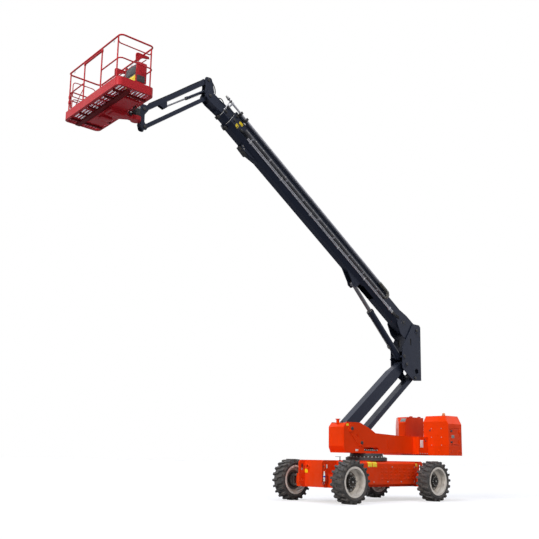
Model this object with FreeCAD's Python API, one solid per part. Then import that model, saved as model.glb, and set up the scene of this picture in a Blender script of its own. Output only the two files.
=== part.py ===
"""Articulating boom lift with a telescopic upper boom and a jib: every piece as one STEP file.

Millimetres. The machine is laid out with +X towards the platform, +Y to its left and +Z up,
its origin on the ground midway between the axles. The export shifts it so that the frame's
origin is the bottom centre of the whole machine.
"""
import FreeCAD, Part
import math
import os

V = FreeCAD.Vector

# ---------------------------------------------------------------- driving dimensions
WHEELBASE = 3300.0
TRACK = 2130.0
RUN_GAP = 6.0                 # clearance between moving pieces
SEAT_GAP = 0.3                # clearance where a piece rests on another body
PIN_GAP = 0.05                # radial running clearance of a pin

# wheels
TYRE_R = 540.0
TYRE_W = 360.0
TREAD_DEPTH = 48.0
LUGS = 20                     # lugs on each half of the tread
LUG_T = 66.0                  # bar thickness at its root
LUG_TAPER = 0.8
LUG_LEAN = 26.0               # how far round a bar leans from its middle to its end
RIM_SEAT_R = 345.0            # tyre bead radius
RIM_FLANGE_R = 378.0
RIM_W = 330.0
RIM_WALL = 14.0
FLANGE_T = 14.0
DISC_T = 22.0
DISC_Y = -40.0                # wheel disc, inboard of the wheel's middle
HUB_R = 150.0
HUB_OUT = 75.0                # hub's outer end from the wheel's middle
HUB_FLANGE_R = 185.0
CAP_R = 34.0
CAP_H = 16.0

# steering
KING_INSET = 260.0            # kingpin from the wheel's middle
KING_R = 38.0
KING_BOSS_R = 56.0            # axle's end around the kingpin
KNUCKLE_H = 300.0
STUB_R = 95.0
SPINDLE_R = 60.0
SPINDLE_REACH = 110.0

# chassis
CHASSIS_HALF = 430.0
CHASSIS_TOP = 1060.0
CHASSIS_BOTTOM = 400.0
CHASSIS_FRONT = WHEELBASE / 2 + 150.0
CHASSIS_REAR = -CHASSIS_FRONT
PLATE_T = 30.0
EAR_REACH = 200.0
EAR_SLOT_W = 70.0
MID_HALF = 620.0
MID_FRONT = WHEELBASE / 2 - 200.0
MID_REAR = -MID_FRONT
MID_BOTTOM = 450.0
AXLE_DEPTH = 330.0
AXLE_W = 300.0
AXLE_BOTTOM = 380.0
LASH_R = 32.0                 # lashing bores in the end plates and the ears
LASH_Y = 300.0
LASH_Z = 895.0
LASH_PAD_R = 75.0
LASH_PAD_T = 16.0

# slewing ring
SLEW_X = -120.0
SLEW_LOW_R = 560.0
SLEW_TOP_R = 440.0
SLEW_LOW_H = 90.0
SLEW_TOP_H = 110.0
SLEW_BORE = 330.0

# turntable
TT_HALF = 280.0
TT_PLATE = 25.0
TT_FLOOR_T = 40.0
TT_REAR = -2240.0
TT_BEAM_TOP = 1755.0
TT_NECK = 2060.0
TT_STEP_X = -1790.0
TT_STEP_HALF = 480.0
TANK_FRONT = 1065.0
TANK_DEPTH = 140.0
TANK_TOP = 2040.0
FILLER_R = 42.0
FILLER_H = 105.0
DOUBLER_T = 14.0

# tail
TAIL_FRONT = -2205.0
TAIL_INNER = 330.0
TAIL_HALF = 1200.0
TAIL_SWING = 2950.0
TAIL_BOTTOM = 1240.0
TAIL_TOP = 2355.0
WEIGHT_TOP = 1490.0
SHEET = 12.0
DOOR_T = 22.0
DOOR_FRONT = -2270.0
DOOR_REAR = -2690.0
DOOR_LOW = 1530.0
DOOR_HIGH = 2000.0
ENGINE_REAR = -2860.0
ENGINE_TOP = 2100.0
HINGE_R = 14.0
HINGE_PIN_R = 7.0
BEACON_R = 45.0
BEACON_H = 90.0

# riser parallelogram, at rest
RISER_BASE = (750.0, 1890.0)
RISER_TOP = (-1620.0, 3820.0)
LINK_OFFSET = (-375.0, -365.0)
RISER_HALF = 115.0
RISER_DEPTH = 330.0
RISER_WALL = 10.0
LINK_HALF = 110.0
LINK_DEPTH = 150.0
PIN_R = 35.0

# upright
UP_HALF = 225.0
UP_PLATE = 20.0
BOOM_PIVOT = (-2100.0, 4860.0)
CYL_BASE = (-1510.0, 4040.0)

# telescopic boom, in the boom's own frame: u along it, w square to it
BOOM_ANGLE = 33.8
BOOM_TOP = 50.0
BASE_HALF = 190.0
BASE_DEPTH = 430.0
BASE_CUT = 95.0
BASE_WALL = 9.0
BASE_START = 260.0
BASE_END = 8340.0
MID_HALF_W = 158.0
MID_DEPTH = 366.0
MID_CUT = 80.0
MID_WALL = 8.0
MID_START = 2900.0
MID_END = 8590.0
FLY_HALF_W = 128.0
FLY_DEPTH = 306.0
FLY_CUT = 66.0
FLY_WALL = 8.0
FLY_START = 2960.0
FLY_END = 8700.0
LIFT_EYE = (2660.0, -510.0)
LIFT_R = 95.0
LIFT_BODY = 1700.0
LIFT_ROD_R = 55.0
LIFT_CLOSING = 570.0          # how far the lift rod closes from rest
HEAD_STEP = 8.0               # how far a barrel's head stands proud of it
LUG_GAP = 72.0                # half the space between the lift lug's plates
EYE_ROOM = 760.0              # slot behind the lift eye for the rod's drift
HEAD_ROOM = (1860.0, 2400.0)  # wider slot that the barrel's head sinks into when the boom is low
HEAD_ROOM_HALF = 105.0

# chain and tubes on the boom's left side
TRAY_LOW = -190.0
TRAY_WIDE = 115.0
TRAY_START = 1700.0
TRAY_END = 7900.0
CHAIN_START = 1560.0
CHAIN_LOWER = 2180.0          # lower run, which stays on the shelf at full reach
CHAIN_UPPER = 370.0
CHAIN_H = 52.0
CHAIN_W = 78.0
CHAIN_PITCH = 72.0
CHAIN_GAP = 8.0
CHAIN_LIFT = 2.0              # the links of the bend clear the shelf by this
PUSH_R = 26.0
PUSH_W = 70.0
PUSH_END = 8760.0
LINE_R = 17.0
LINE_START = 1150.0
LINE_END = 7710.0

# jib
JIB_HUB = (5570.0, 9740.0)
JIB_SPAN = 2206.0
JIB_ANGLE = -37.1
JIB_RISE = (30.0, 420.0)
JIB_HALF = 55.0
JIB_BEAM_DEPTH = 110.0
JIB_LINK_DEPTH = 96.0
JIB_PIN_R = 25.0
JIB_PLATE = 20.0
JIB_CYL_BASE = (40.0, 175.0)
JIB_LUG_U = 1600.0
JIB_LUG_W = -140.0
JIB_LUG_R = 34.0
JIB_CYL_R = 32.0
JIB_CYL_BODY = 720.0
JIB_ROD_R = 20.0
JIB_CLOSING = 85.0

# platform
ROT_REACH = 166.0             # rotator's axis beyond the jib's outer pins
ROT_DROP = 219.0              # its lower face below the upper outer pin
ROT_TALL = 370.0
ROT_R = 105.0
ARM_R = 120.0
ARM_NECK = 60.0               # half width of the platform's arm beside the rotator
PLAT_REACH = 189.5            # platform's near edge beyond the rotator's axis
PLAT_DEEP = 890.0
PLAT_DROP = 189.0             # its floor frame below the upper outer pin
PLAT_Y0 = -1380.0
PLAT_Y1 = 1080.0
TOE_H = 190.0
TOE_T = 8.0
PLAT_CORNER = 110.0
FLOOR_BAR = 30.0
RAIL_HEIGHT = 1150.0
MID_RAIL = 0.548              # share of the rail's height at which the middle rail runs
RAIL_R = 19.0
POST_R = 16.0
RAIL_BEND = 90.0


# ---------------------------------------------------------------- helpers
def box(x0, x1, y0, y1, z0, z1):
    """A block between two corners."""
    return Part.makeBox(x1 - x0, y1 - y0, z1 - z0, V(x0, y0, z0))


def rod_x(y, z, r, x0, x1):
    """A round bar along X."""
    return Part.makeCylinder(r, x1 - x0, V(x0, y, z), V(1, 0, 0))


def rod_y(x, z, r, y0, y1):
    """A round bar along Y."""
    return Part.makeCylinder(r, y1 - y0, V(x, y0, z), V(0, 1, 0))


def rod_z(x, y, r, z0, z1):
    """A round bar along Z."""
    return Part.makeCylinder(r, z1 - z0, V(x, y, z0), V(0, 0, 1))


def rounded(points, radii):
    """A closed wire through 3-D points, each corner rounded by its radius."""
    n = len(points)
    edges = []
    ends = []
    for i in range(n):
        p, a, b = V(*points[i]), V(*points[i - 1]), V(*points[(i + 1) % n])
        r = radii[i] if isinstance(radii, (list, tuple)) else radii
        ua = (a - p).normalize()
        ub = (b - p).normalize()
        if r <= 0:
            ends.append((p, p, None))
            continue
        half = ua.getAngle(ub) / 2.0
        cut = r / math.tan(half)
        mid = (ua + ub).normalize()
        centre = p + mid * (r / math.sin(half))
        ends.append((p + ua * cut, p + ub * cut, centre - mid * r))
    for i in range(n):
        start, end, mid = ends[i]
        if mid is not None:
            edges.append(Part.Arc(start, mid, end).toShape())
        nxt = ends[(i + 1) % n][0]
        if (nxt - end).Length > 1e-6:
            edges.append(Part.makeLine(end, nxt))
    return Part.Wire(edges)


def slab_y(outline, y0, y1, radii=0.0):
    """A plate whose outline is in XZ, between two Y values."""
    wire = rounded([(x, y0, z) for x, z in outline], radii)
    return Part.Face(wire).extrude(V(0, y1 - y0, 0))


def slab_x(outline, x0, x1, radii=0.0):
    """A plate whose outline is in YZ, between two X values."""
    wire = rounded([(x0, y, z) for y, z in outline], radii)
    return Part.Face(wire).extrude(V(x1 - x0, 0, 0))


def slab_z(outline, z0, z1, radii=0.0):
    """A plate whose outline is in XY, between two Z values."""
    wire = rounded([(x, y, z0) for x, y in outline], radii)
    return Part.Face(wire).extrude(V(0, 0, z1 - z0))


def both(shape):
    """The shape and its mirror image across the machine's middle plane."""
    return [shape, shape.mirror(V(0, 0, 0), V(0, 1, 0))]


def fuse(shapes):
    """All shapes as one solid, without the seams between them."""
    first, rest = shapes[0], shapes[1:]
    if not rest:
        return first
    return first.multiFuse(rest).removeSplitter()


def bend_at(corner, before, after, radius, bend):
    """The rounded corner of a bar: its two ends and the bent solid between them."""
    p = V(*corner)
    ua = (V(*before) - p).normalize()
    ub = (V(*after) - p).normalize()
    half = ua.getAngle(ub) / 2.0
    start = p + ua * (bend / math.tan(half))
    end = p + ub * (bend / math.tan(half))
    centre = p + (ua + ub).normalize() * (bend / math.sin(half))
    face = Part.Face(Part.Wire([Part.makeCircle(radius, start, ua)]))
    turn = (start - centre).getAngle(end - centre)
    axis = (start - centre).cross(end - centre)
    return start, end, face.revolve(centre, axis, math.degrees(turn))


def straight(a, b, radius):
    """A round bar between two points."""
    return Part.makeCylinder(radius, (b - a).Length, a, b - a)


def pipe(points, radius, bend):
    """A round bar along straight runs joined by bends."""
    pieces = []
    at = V(*points[0])
    for i in range(1, len(points) - 1):
        start, end, corner = bend_at(points[i], points[i - 1], points[i + 1], radius, bend)
        pieces += [straight(at, start, radius), corner]
        at = end
    pieces.append(straight(at, V(*points[-1]), radius))
    return fuse(pieces)


def loop_pipe(points, radius, bend):
    """A round bar bent into a closed loop."""
    pieces = []
    n = len(points)
    ends = [bend_at(points[i], points[i - 1], points[(i + 1) % n], radius, bend) for i in range(n)]
    for i in range(n):
        pieces += [ends[i][2], straight(ends[i][1], ends[(i + 1) % n][0], radius)]
    return fuse(pieces)


def swing(shape, pivot, degrees):
    """Turn a shape built along +X in the XZ plane up by an angle, and set it on its pivot."""
    moved = shape.copy()
    moved.rotate(V(0, 0, 0), V(0, 1, 0), -degrees)
    moved.translate(V(pivot[0], 0, pivot[1]))
    return moved


def boom_point(u, w):
    """Where a point of the boom's own frame is on the machine."""
    a = math.radians(BOOM_ANGLE)
    return (BOOM_PIVOT[0] + u * math.cos(a) - w * math.sin(a),
            BOOM_PIVOT[1] + u * math.sin(a) + w * math.cos(a))


def boom_local(x, z):
    """Place of a point of the machine in the boom's own frame."""
    a = math.radians(BOOM_ANGLE)
    dx, dz = x - BOOM_PIVOT[0], z - BOOM_PIVOT[1]
    return dx * math.cos(a) + dz * math.sin(a), dz * math.cos(a) - dx * math.sin(a)


def span(a, b):
    """Length and rise angle from one pivot to another."""
    dx, dz = b[0] - a[0], b[1] - a[1]
    return math.hypot(dx, dz), math.degrees(math.atan2(dz, dx))


RISER_LOW2 = (RISER_BASE[0] + LINK_OFFSET[0], RISER_BASE[1] + LINK_OFFSET[1])
RISER_TOP2 = (RISER_TOP[0] + LINK_OFFSET[0], RISER_TOP[1] + LINK_OFFSET[1])
JIB_TOP = (JIB_HUB[0] + JIB_RISE[0], JIB_HUB[1] + JIB_RISE[1])
JIB_END_LOW = (JIB_HUB[0] + JIB_SPAN * math.cos(math.radians(JIB_ANGLE)),
               JIB_HUB[1] + JIB_SPAN * math.sin(math.radians(JIB_ANGLE)))
JIB_END_TOP = (JIB_END_LOW[0] + JIB_RISE[0], JIB_END_LOW[1] + JIB_RISE[1])
ROT_X = JIB_END_TOP[0] + ROT_REACH
ROT_LOW = JIB_END_TOP[1] - ROT_DROP
ROT_HIGH = ROT_LOW + ROT_TALL
PLAT_X0 = ROT_X + PLAT_REACH
PLAT_X1 = PLAT_X0 + PLAT_DEEP
PLAT_Z = JIB_END_TOP[1] - PLAT_DROP
RAIL_TOP = PLAT_Z + RAIL_HEIGHT
RAIL_MID = PLAT_Z + RAIL_HEIGHT * MID_RAIL
SLEW_Z0 = CHASSIS_TOP + SEAT_GAP
SLEW_Z1 = SLEW_Z0 + SLEW_LOW_H
SLEW_Z2 = SLEW_Z1 + SLEW_TOP_H
TT_Z = SLEW_Z2 + SEAT_GAP
WHEEL_AT = {"front_left": (WHEELBASE / 2, 1), "front_right": (WHEELBASE / 2, -1),
            "rear_left": (-WHEELBASE / 2, 1), "rear_right": (-WHEELBASE / 2, -1)}


# ---------------------------------------------------------------- wheels
def lug(side):
    """One tread bar, from the middle of the tread over the shoulder, at the tread's top."""
    root = TYRE_R - TREAD_DEPTH - 14.0
    tip = TYRE_R - 4.0
    end = TYRE_W / 2
    inner = [(-14.0, -LUG_LEAN - LUG_T / 2), (-14.0, -LUG_LEAN + LUG_T / 2),
             (end, LUG_LEAN + LUG_T / 2), (end, LUG_LEAN - LUG_T / 2)]
    low = [V(t * side, side * y, root) for y, t in inner]
    high = [V(t * side * LUG_TAPER, side * y * 0.97, tip) for y, t in inner]
    loop_low = Part.makePolygon(low + [low[0]])
    loop_high = Part.makePolygon(high + [high[0]])
    return Part.makeLoft([loop_low, loop_high], True, True)


def tyre():
    """Tyre about the Y axis: a carcass of revolution with a ring of bars on each side."""
    half = TYRE_W / 2
    crown = TYRE_R - TREAD_DEPTH
    bead = RIM_W / 2
    side = [(RIM_SEAT_R + SEAT_GAP, bead - FLANGE_T - 5), (RIM_FLANGE_R + SEAT_GAP, bead - FLANGE_T - 1),
            (RIM_FLANGE_R + SEAT_GAP, bead), (RIM_FLANGE_R + 65, half), (crown, half - 30)]
    profile = [(r, -y) for r, y in side] + side[::-1]
    wire = rounded([(0, y, r) for r, y in profile], 0.0)
    carcass = Part.Face(wire).revolve(V(0, 0, 0), V(0, 1, 0), 360)
    bars = []
    for side in (1, -1):
        one = lug(side)
        for i in range(LUGS):
            bar = one.copy()
            # the bars lean the same way round on both halves, half a pitch apart
            turn = 360.0 / LUGS * (i + (0.5 if side < 0 else 0.0))
            bar.rotate(V(0, 0, 0), V(0, 1, 0), turn)
            bars.append(bar)
    return carcass.multiFuse(bars)


def rim():
    """Rim of revolution: barrel, two flanges and a dished disc."""
    half = RIM_W / 2
    inner = RIM_SEAT_R - RIM_WALL
    profile = [(RIM_SEAT_R, -half + FLANGE_T + 4), (RIM_FLANGE_R, -half + FLANGE_T), (RIM_FLANGE_R, -half),
               (inner - 6, -half), (inner, -half + 30), (inner, DISC_Y - DISC_T),
               (HUB_R + SEAT_GAP, DISC_Y - DISC_T), (HUB_R + SEAT_GAP, DISC_Y),
               (inner - 60, DISC_Y), (inner, DISC_Y + 50), (inner, half - 30),
               (inner - 6, half), (RIM_FLANGE_R, half), (RIM_FLANGE_R, half - FLANGE_T),
               (RIM_SEAT_R, half - FLANGE_T - 4)]
    wire = rounded([(0, y, r) for r, y in profile], 0.0)
    return Part.Face(wire).revolve(V(0, 0, 0), V(0, 1, 0), 360)


def hub():
    """Planetary hub through the disc, with its cap."""
    inboard = DISC_Y - DISC_T - 60
    barrel = rod_y(0, 0, HUB_R, inboard, HUB_OUT)
    flange = rod_y(0, 0, HUB_FLANGE_R, inboard, DISC_Y - DISC_T - SEAT_GAP)
    cap = rod_y(0, 0, CAP_R, HUB_OUT, HUB_OUT + CAP_H)
    body = fuse([barrel, flange, cap])
    rim_edge = [e for e in body.Edges if abs(e.BoundBox.YMin - HUB_OUT) < 0.1
                and abs(e.BoundBox.YMax - HUB_OUT) < 0.1 and e.BoundBox.ZLength > 2 * HUB_R - 1]
    body = body.makeChamfer(18.0, rim_edge)
    return body.cut(rod_y(0, 0, SPINDLE_R + PIN_GAP, inboard - 1, inboard + SPINDLE_REACH))


def knuckle():
    """Steering knuckle: stub for the hub and a fork above and below the axle's end."""
    inboard = DISC_Y - DISC_T - 60 - RUN_GAP
    stub = rod_y(0, 0, STUB_R, -KING_INSET + 10, inboard)
    spindle = rod_y(0, 0, SPINDLE_R, inboard - 10, inboard + SPINDLE_REACH - RUN_GAP)
    plate = rod_y(0, 0, HUB_FLANGE_R - 10, inboard - 34, inboard)
    web = box(-90, 90, -KING_INSET + 62, inboard - 30, -KNUCKLE_H / 2, KNUCKLE_H / 2)
    arms = []
    for z0 in (-KNUCKLE_H / 2, KNUCKLE_H / 2 - 50):
        arm = slab_z([(-75, -KING_INSET - 75), (75, -KING_INSET - 75),
                      (90, -KING_INSET + 100), (-90, -KING_INSET + 100)], z0, z0 + 50, 30.0)
        arms.append(arm)
    pin = rod_z(0, -KING_INSET, KING_R, -KNUCKLE_H / 2, KNUCKLE_H / 2)
    hollow = box(-110, 110, -KING_INSET - 90, -KING_INSET + 62,
                 -KNUCKLE_H / 2 + 50, KNUCKLE_H / 2 - 50)
    body = fuse([plate, web, stub] + arms)
    return fuse([body.cut(hollow), pin, spindle])


def wheel_nodes():
    """The four corners: tyre, rim, hub and knuckle of each."""
    parts = {}
    masters = {"tyre": tyre(), "rim": rim(), "wheel_hub": hub(), "knuckle": knuckle()}
    for where, (x, side) in WHEEL_AT.items():
        for name, master in masters.items():
            piece = master.copy()
            if side < 0:
                piece = piece.mirror(V(0, 0, 0), V(0, 1, 0))
            piece.translate(V(x, side * TRACK / 2, TYRE_R))
            parts[name + "_" + where] = piece
    return parts


# ---------------------------------------------------------------- chassis
def axle(x):
    """Axle beam across the machine, its ends bored for the kingpins."""
    end = TRACK / 2 - KING_INSET
    inside = KNUCKLE_H - 2 * 50 - 2 * RUN_GAP
    beam = box(x - AXLE_W / 2, x + AXLE_W / 2, -end + 100, end - 100,
               AXLE_BOTTOM, AXLE_BOTTOM + AXLE_DEPTH)
    pieces = [beam]
    for side in (1, -1):
        y0, y1 = sorted((side * (end - 140), side * end))
        pieces.append(box(x - KING_BOSS_R, x + KING_BOSS_R, y0, y1,
                          TYRE_R - inside / 2, TYRE_R + inside / 2))
        pieces.append(rod_z(x, side * end, KING_BOSS_R, TYRE_R - inside / 2, TYRE_R + inside / 2))
    body = fuse(pieces)
    for side in (1, -1):
        body = body.cut(rod_z(x, side * end, KING_R + PIN_GAP, 0, 2 * TYRE_R))
    return body


def ear_plate(y0, y1):
    """Long side plate of the chassis with an ear at each end, each with a slot and a hole."""
    f, r = CHASSIS_FRONT + EAR_REACH, CHASSIS_REAR - EAR_REACH
    outline = [(r + 110, CHASSIS_BOTTOM - 20), (f - 110, CHASSIS_BOTTOM - 20),
               (f, CHASSIS_BOTTOM + 110), (f, CHASSIS_TOP), (r, CHASSIS_TOP),
               (r, CHASSIS_BOTTOM + 110)]
    plate = slab_y(outline, y0, y1, [20, 20, 20, 90, 90, 20])
    for x in (f - 110, r + 110):
        slot = slab_y([(x - EAR_SLOT_W / 2, CHASSIS_TOP - 270), (x + EAR_SLOT_W / 2, CHASSIS_TOP - 270),
                       (x + EAR_SLOT_W / 2, CHASSIS_TOP - 90), (x - EAR_SLOT_W / 2, CHASSIS_TOP - 90)],
                      y0 - 1, y1 + 1, EAR_SLOT_W / 2 - 0.5)
        plate = plate.cut(slot)
        plate = plate.cut(rod_y(x, CHASSIS_BOTTOM + 160, LASH_R, y0 - 1, y1 + 1))
    return plate


def chassis():
    """Box frame: side plates, top, bottom, end plates with lashing eyes, and the wide middle."""
    plates = both(ear_plate(CHASSIS_HALF - PLATE_T, CHASSIS_HALF))
    inner = CHASSIS_HALF - PLATE_T
    top = box(CHASSIS_REAR, CHASSIS_FRONT, -inner, inner, CHASSIS_TOP - PLATE_T, CHASSIS_TOP)
    bottom = box(CHASSIS_REAR, CHASSIS_FRONT, -inner, inner, CHASSIS_BOTTOM, CHASSIS_BOTTOM + PLATE_T)
    ends = [box(x, x + PLATE_T, -inner, inner, CHASSIS_BOTTOM, CHASSIS_TOP)
            for x in (CHASSIS_REAR, CHASSIS_FRONT - PLATE_T)]
    wide = []
    for side in (1, -1):
        y0, y1 = sorted((side * CHASSIS_HALF, side * MID_HALF))
        block = box(MID_REAR, MID_FRONT, y0, y1, MID_BOTTOM, CHASSIS_TOP - 30)
        outer = [e for e in block.Edges if abs(abs(e.BoundBox.YMin) - MID_HALF) < 1
                 and e.BoundBox.YLength < 1 and e.BoundBox.XLength > 100 and e.BoundBox.ZMin > 900]
        wide.append(block.makeFillet(55.0, outer))
    pads = []
    for x0 in (CHASSIS_FRONT, CHASSIS_REAR - LASH_PAD_T):
        for y in (LASH_Y, -LASH_Y):
            pads.append(rod_x(y, LASH_Z, LASH_PAD_R, x0, x0 + LASH_PAD_T))
    body = fuse(plates + [top, bottom] + ends + pads + wide)
    for y in (LASH_Y, -LASH_Y):
        for x0, x1 in ((CHASSIS_REAR - 50, CHASSIS_REAR + PLATE_T + 1),
                       (CHASSIS_FRONT - PLATE_T - 1, CHASSIS_FRONT + 50)):
            body = body.cut(rod_x(y, LASH_Z, LASH_R, x0, x1))
    return body


def chassis_nodes():
    """Chassis, its two axles and the lower half of the slewing ring."""
    frame = chassis()
    parts = {}
    for name, x in (("front_axle", WHEELBASE / 2), ("rear_axle", -WHEELBASE / 2)):
        body = axle(x)
        parts[name] = body
        frame = frame.cut(body)
    parts["chassis_frame"] = frame
    ring = rod_z(SLEW_X, 0, SLEW_LOW_R, SLEW_Z0, SLEW_Z1)
    parts["slew_ring"] = ring.cut(rod_z(SLEW_X, 0, SLEW_BORE, SLEW_Z0 - 1, SLEW_Z1 + 1))
    return parts


# ---------------------------------------------------------------- turntable
def side_cheek(y0, y1):
    """Side plate of the turntable, from the front bracket back along the beam."""
    outline = [(TT_REAR, TT_Z), (980.0, TT_Z), (1050.0, TT_Z + 140.0), (1050.0, 1930.0),
               (940.0, TT_NECK), (420.0, TT_NECK), (-20.0, 1890.0), (-190.0, TT_BEAM_TOP + 45),
               (-1060.0, TT_BEAM_TOP + 10), (TT_REAR, TT_BEAM_TOP)]
    plate = slab_y(outline, y0, y1, [0, 20, 20, 20, 30, 160, 60, 60, 0, 0])
    window = box(-300.0, 270.0, y0 - 1, y1 + 1, TT_Z + 55.0, TT_Z + 150.0)
    return plate.cut(window)


def doubler(y0, y1):
    """Doubling plate around the riser's two lower pins."""
    d = 125.0
    a, b = RISER_BASE, RISER_LOW2
    length, rise = span(b, a)
    strip = slab_y([(-d, -d), (length + d, -d), (length + d, d), (-d, d)], y0, y1, d - 1)
    plate = swing(strip, b, rise)
    middle = swing(slab_y([(length / 2 - 55, -30), (length / 2 + 55, -30),
                           (length / 2 + 55, 30), (length / 2 - 55, 30)], y0 - 1, y1 + 1, 29.0), b, rise)
    return plate.cut(middle)


def turntable_frame():
    """Floor plate, two cheeks with doublers, cross webs, rear steps and the riser's pins."""
    inner = TT_HALF - TT_PLATE
    pieces = both(side_cheek(inner, TT_HALF)) + both(doubler(TT_HALF, TT_HALF + DOUBLER_T))
    floor = box(TT_REAR, 980.0, -inner, inner, TT_Z, TT_Z + TT_FLOOR_T)
    floor = floor.cut(rod_z(SLEW_X, 0, 150.0, TT_Z - 1, TT_Z + TT_FLOOR_T + 1))
    pieces.append(floor)
    for side in (1, -1):
        y0, y1 = sorted((side * TT_HALF, side * TT_STEP_HALF))
        pieces.append(box(TAIL_FRONT + SEAT_GAP, TT_STEP_X, y0, y1, TT_Z, TT_BEAM_TOP - 5))
    for pivot in (RISER_BASE, RISER_LOW2):
        pieces.append(rod_y(pivot[0], pivot[1], PIN_R, -TT_HALF - DOUBLER_T, TT_HALF + DOUBLER_T))
    ring = rod_z(SLEW_X, 0, SLEW_TOP_R, SLEW_Z1 + SEAT_GAP, TT_Z)
    pieces.append(ring.cut(rod_z(SLEW_X, 0, SLEW_BORE, SLEW_Z1, TT_Z + 1)))
    return fuse(pieces)


def front_tank():
    """Tank across the turntable's nose, with chamfered edges and a filler neck."""
    x1, x0 = TANK_FRONT, TANK_FRONT - TANK_DEPTH
    inner = TT_HALF - TT_PLATE - SEAT_GAP
    z0 = TT_Z + TT_FLOOR_T + SEAT_GAP
    profile = [(x0, z0), (x1 - 70, z0), (x1, z0 + 130), (x1, TANK_TOP - 110),
               (x1 - 115, TANK_TOP), (x0, TANK_TOP)]
    body = slab_y(profile, -inner, inner, [0, 15, 15, 15, 15, 0])
    neck = rod_z(x0 + 45, -20, FILLER_R, TANK_TOP - 20, TANK_TOP + FILLER_H - 18)
    cap = rod_z(x0 + 45, -20, FILLER_R + 22, TANK_TOP + FILLER_H - 18, TANK_TOP + FILLER_H)
    return fuse([body, neck, cap])


def tail_plan(inset=0.0):
    """Plan of the whole tail: flat front, straight sides and an arc behind."""
    half = TAIL_HALF - inset
    swing_r = TAIL_SWING - inset
    corner = SLEW_X - math.sqrt(swing_r ** 2 - half ** 2)
    a = V(TAIL_FRONT - inset, -half, 0)
    b = V(TAIL_FRONT - inset, half, 0)
    c = V(corner, half, 0)
    d = V(corner, -half, 0)
    back = V(SLEW_X - swing_r, 0, 0)
    return Part.Wire([Part.makeLine(a, b), Part.makeLine(b, c),
                      Part.Arc(c, back, d).toShape(), Part.makeLine(d, a)])


def tail_block(z0, z1, inset=0.0):
    """The tail's plan raised between two heights."""
    face = Part.Face(tail_plan(inset))
    face.translate(V(0, 0, z0))
    return face.extrude(V(0, 0, z1 - z0))


def counterweight():
    """Cast weight under the tail, clear of the turntable's rear."""
    block = tail_block(TAIL_BOTTOM, WEIGHT_TOP)
    notch = box(TT_REAR - SEAT_GAP, 0, -TT_STEP_HALF - SEAT_GAP, TT_STEP_HALF + SEAT_GAP,
                TAIL_BOTTOM - 1, WEIGHT_TOP + 1)
    return block.cut(notch)


def roof_cut(front_run, front_drop, side_run, side_drop):
    """Wedges that slope the tail's roof down to its front and to its sides."""
    big = 4000.0
    front = slab_y([(TAIL_FRONT + 10, TAIL_TOP + 10), (TAIL_FRONT + 10, TAIL_TOP - front_drop),
                    (TAIL_FRONT, TAIL_TOP - front_drop), (TAIL_FRONT - front_run, TAIL_TOP),
                    (TAIL_FRONT - front_run, TAIL_TOP + 10)], -big, big)
    sides = both(slab_x([(TAIL_HALF + 10, TAIL_TOP + 10), (TAIL_HALF + 10, TAIL_TOP - side_drop),
                         (TAIL_HALF, TAIL_TOP - side_drop), (TAIL_HALF - side_run, TAIL_TOP),
                         (TAIL_HALF - side_run, TAIL_TOP + 10)], -big, big))
    return [front] + sides


def tail_shell(inset):
    """The tail above the weight as a solid, sloped roof and all."""
    block = tail_block(WEIGHT_TOP, TAIL_TOP, inset)
    if inset:
        block.translate(V(0, 0, -inset))
        block = block.fuse(tail_block(WEIGHT_TOP - 50, WEIGHT_TOP + 100, inset))
    wedges = roof_cut(120, 170, 180, 240)
    for wedge in wedges:
        if inset:
            wedge.translate(V(0, 0, -inset))
        block = block.cut(wedge)
    return block


def left_cabinet():
    """Left cabinet: sheet shell open below, with a recessed opening for its door."""
    keep = box(-4000, 0, TAIL_INNER, 2000, 0, 3000)
    outer = tail_shell(0.0).common(keep)
    inner = tail_shell(SHEET).common(box(-4000, 0, TAIL_INNER + SHEET, 2000, 0, 3000))
    shell = outer.cut(inner)
    # the inner part of the front stands back from the bolted panel
    shell = shell.cut(box(DOOR_REAR, DOOR_FRONT, TAIL_HALF - SHEET - 30, TAIL_HALF + 10,
                          DOOR_LOW, DOOR_HIGH))
    shell.translate(V(0, 0, SEAT_GAP))
    return fuse([shell] + door_hinges()[1])


def door_hinges():
    """Barrels on the door and pins with ears on the cabinet, at the door's rear edge."""
    x, y = DOOR_REAR, TAIL_HALF + HINGE_R + 1
    leaf, frame = [], []
    for z in (DOOR_LOW + 90, DOOR_HIGH - 90):
        barrel = rod_z(x, y, HINGE_R, z - 25, z + 25)
        tongue = box(x, x + 45, TAIL_HALF - 2, TAIL_HALF + 8, z - 25, z + 25)
        bored = fuse([barrel, tongue]).cut(rod_z(x, y, HINGE_PIN_R + PIN_GAP, z - 30, z + 30))
        leaf.append(bored)
        frame.append(rod_z(x, y, HINGE_PIN_R, z - 45, z + 45))
        for z0 in (z - 46, z + 26):
            frame.append(rod_z(x, y, HINGE_R, z0, z0 + 20))
            frame.append(box(x - 45, x, TAIL_HALF - 2, TAIL_HALF + 8, z0, z0 + 20))
    return leaf, frame


def hood_hinges():
    """Barrels on the hood and pins with ears on the bay wall, along the hood's inner edge."""
    y, z = -TAIL_INNER - SHEET / 2, TAIL_TOP + HINGE_R + 2
    leaf, frame = [], []
    for x in (-2480.0, -2860.0):
        barrel = rod_x(y, z, HINGE_R, x - 35, x + 35)
        tongue = box(x - 35, x + 35, y - 60, y, TAIL_TOP + 2, TAIL_TOP + 12)
        root = box(x - 35, x + 35, y - 60, y - 24, TAIL_TOP - 4, TAIL_TOP + 4)
        leaf.append(fuse([barrel, tongue, root]).cut(rod_x(y, z, HINGE_PIN_R + PIN_GAP, x - 40, x + 40)))
        frame.append(rod_x(y, z, HINGE_PIN_R, x - 55, x + 55))
        for x0 in (x - 56, x + 36):
            frame.append(rod_x(y, z, HINGE_R, x0, x0 + 20))
            frame.append(box(x0, x0 + 20, y - 6, y + 6, TAIL_TOP - 12, z))
    return leaf, frame


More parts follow.
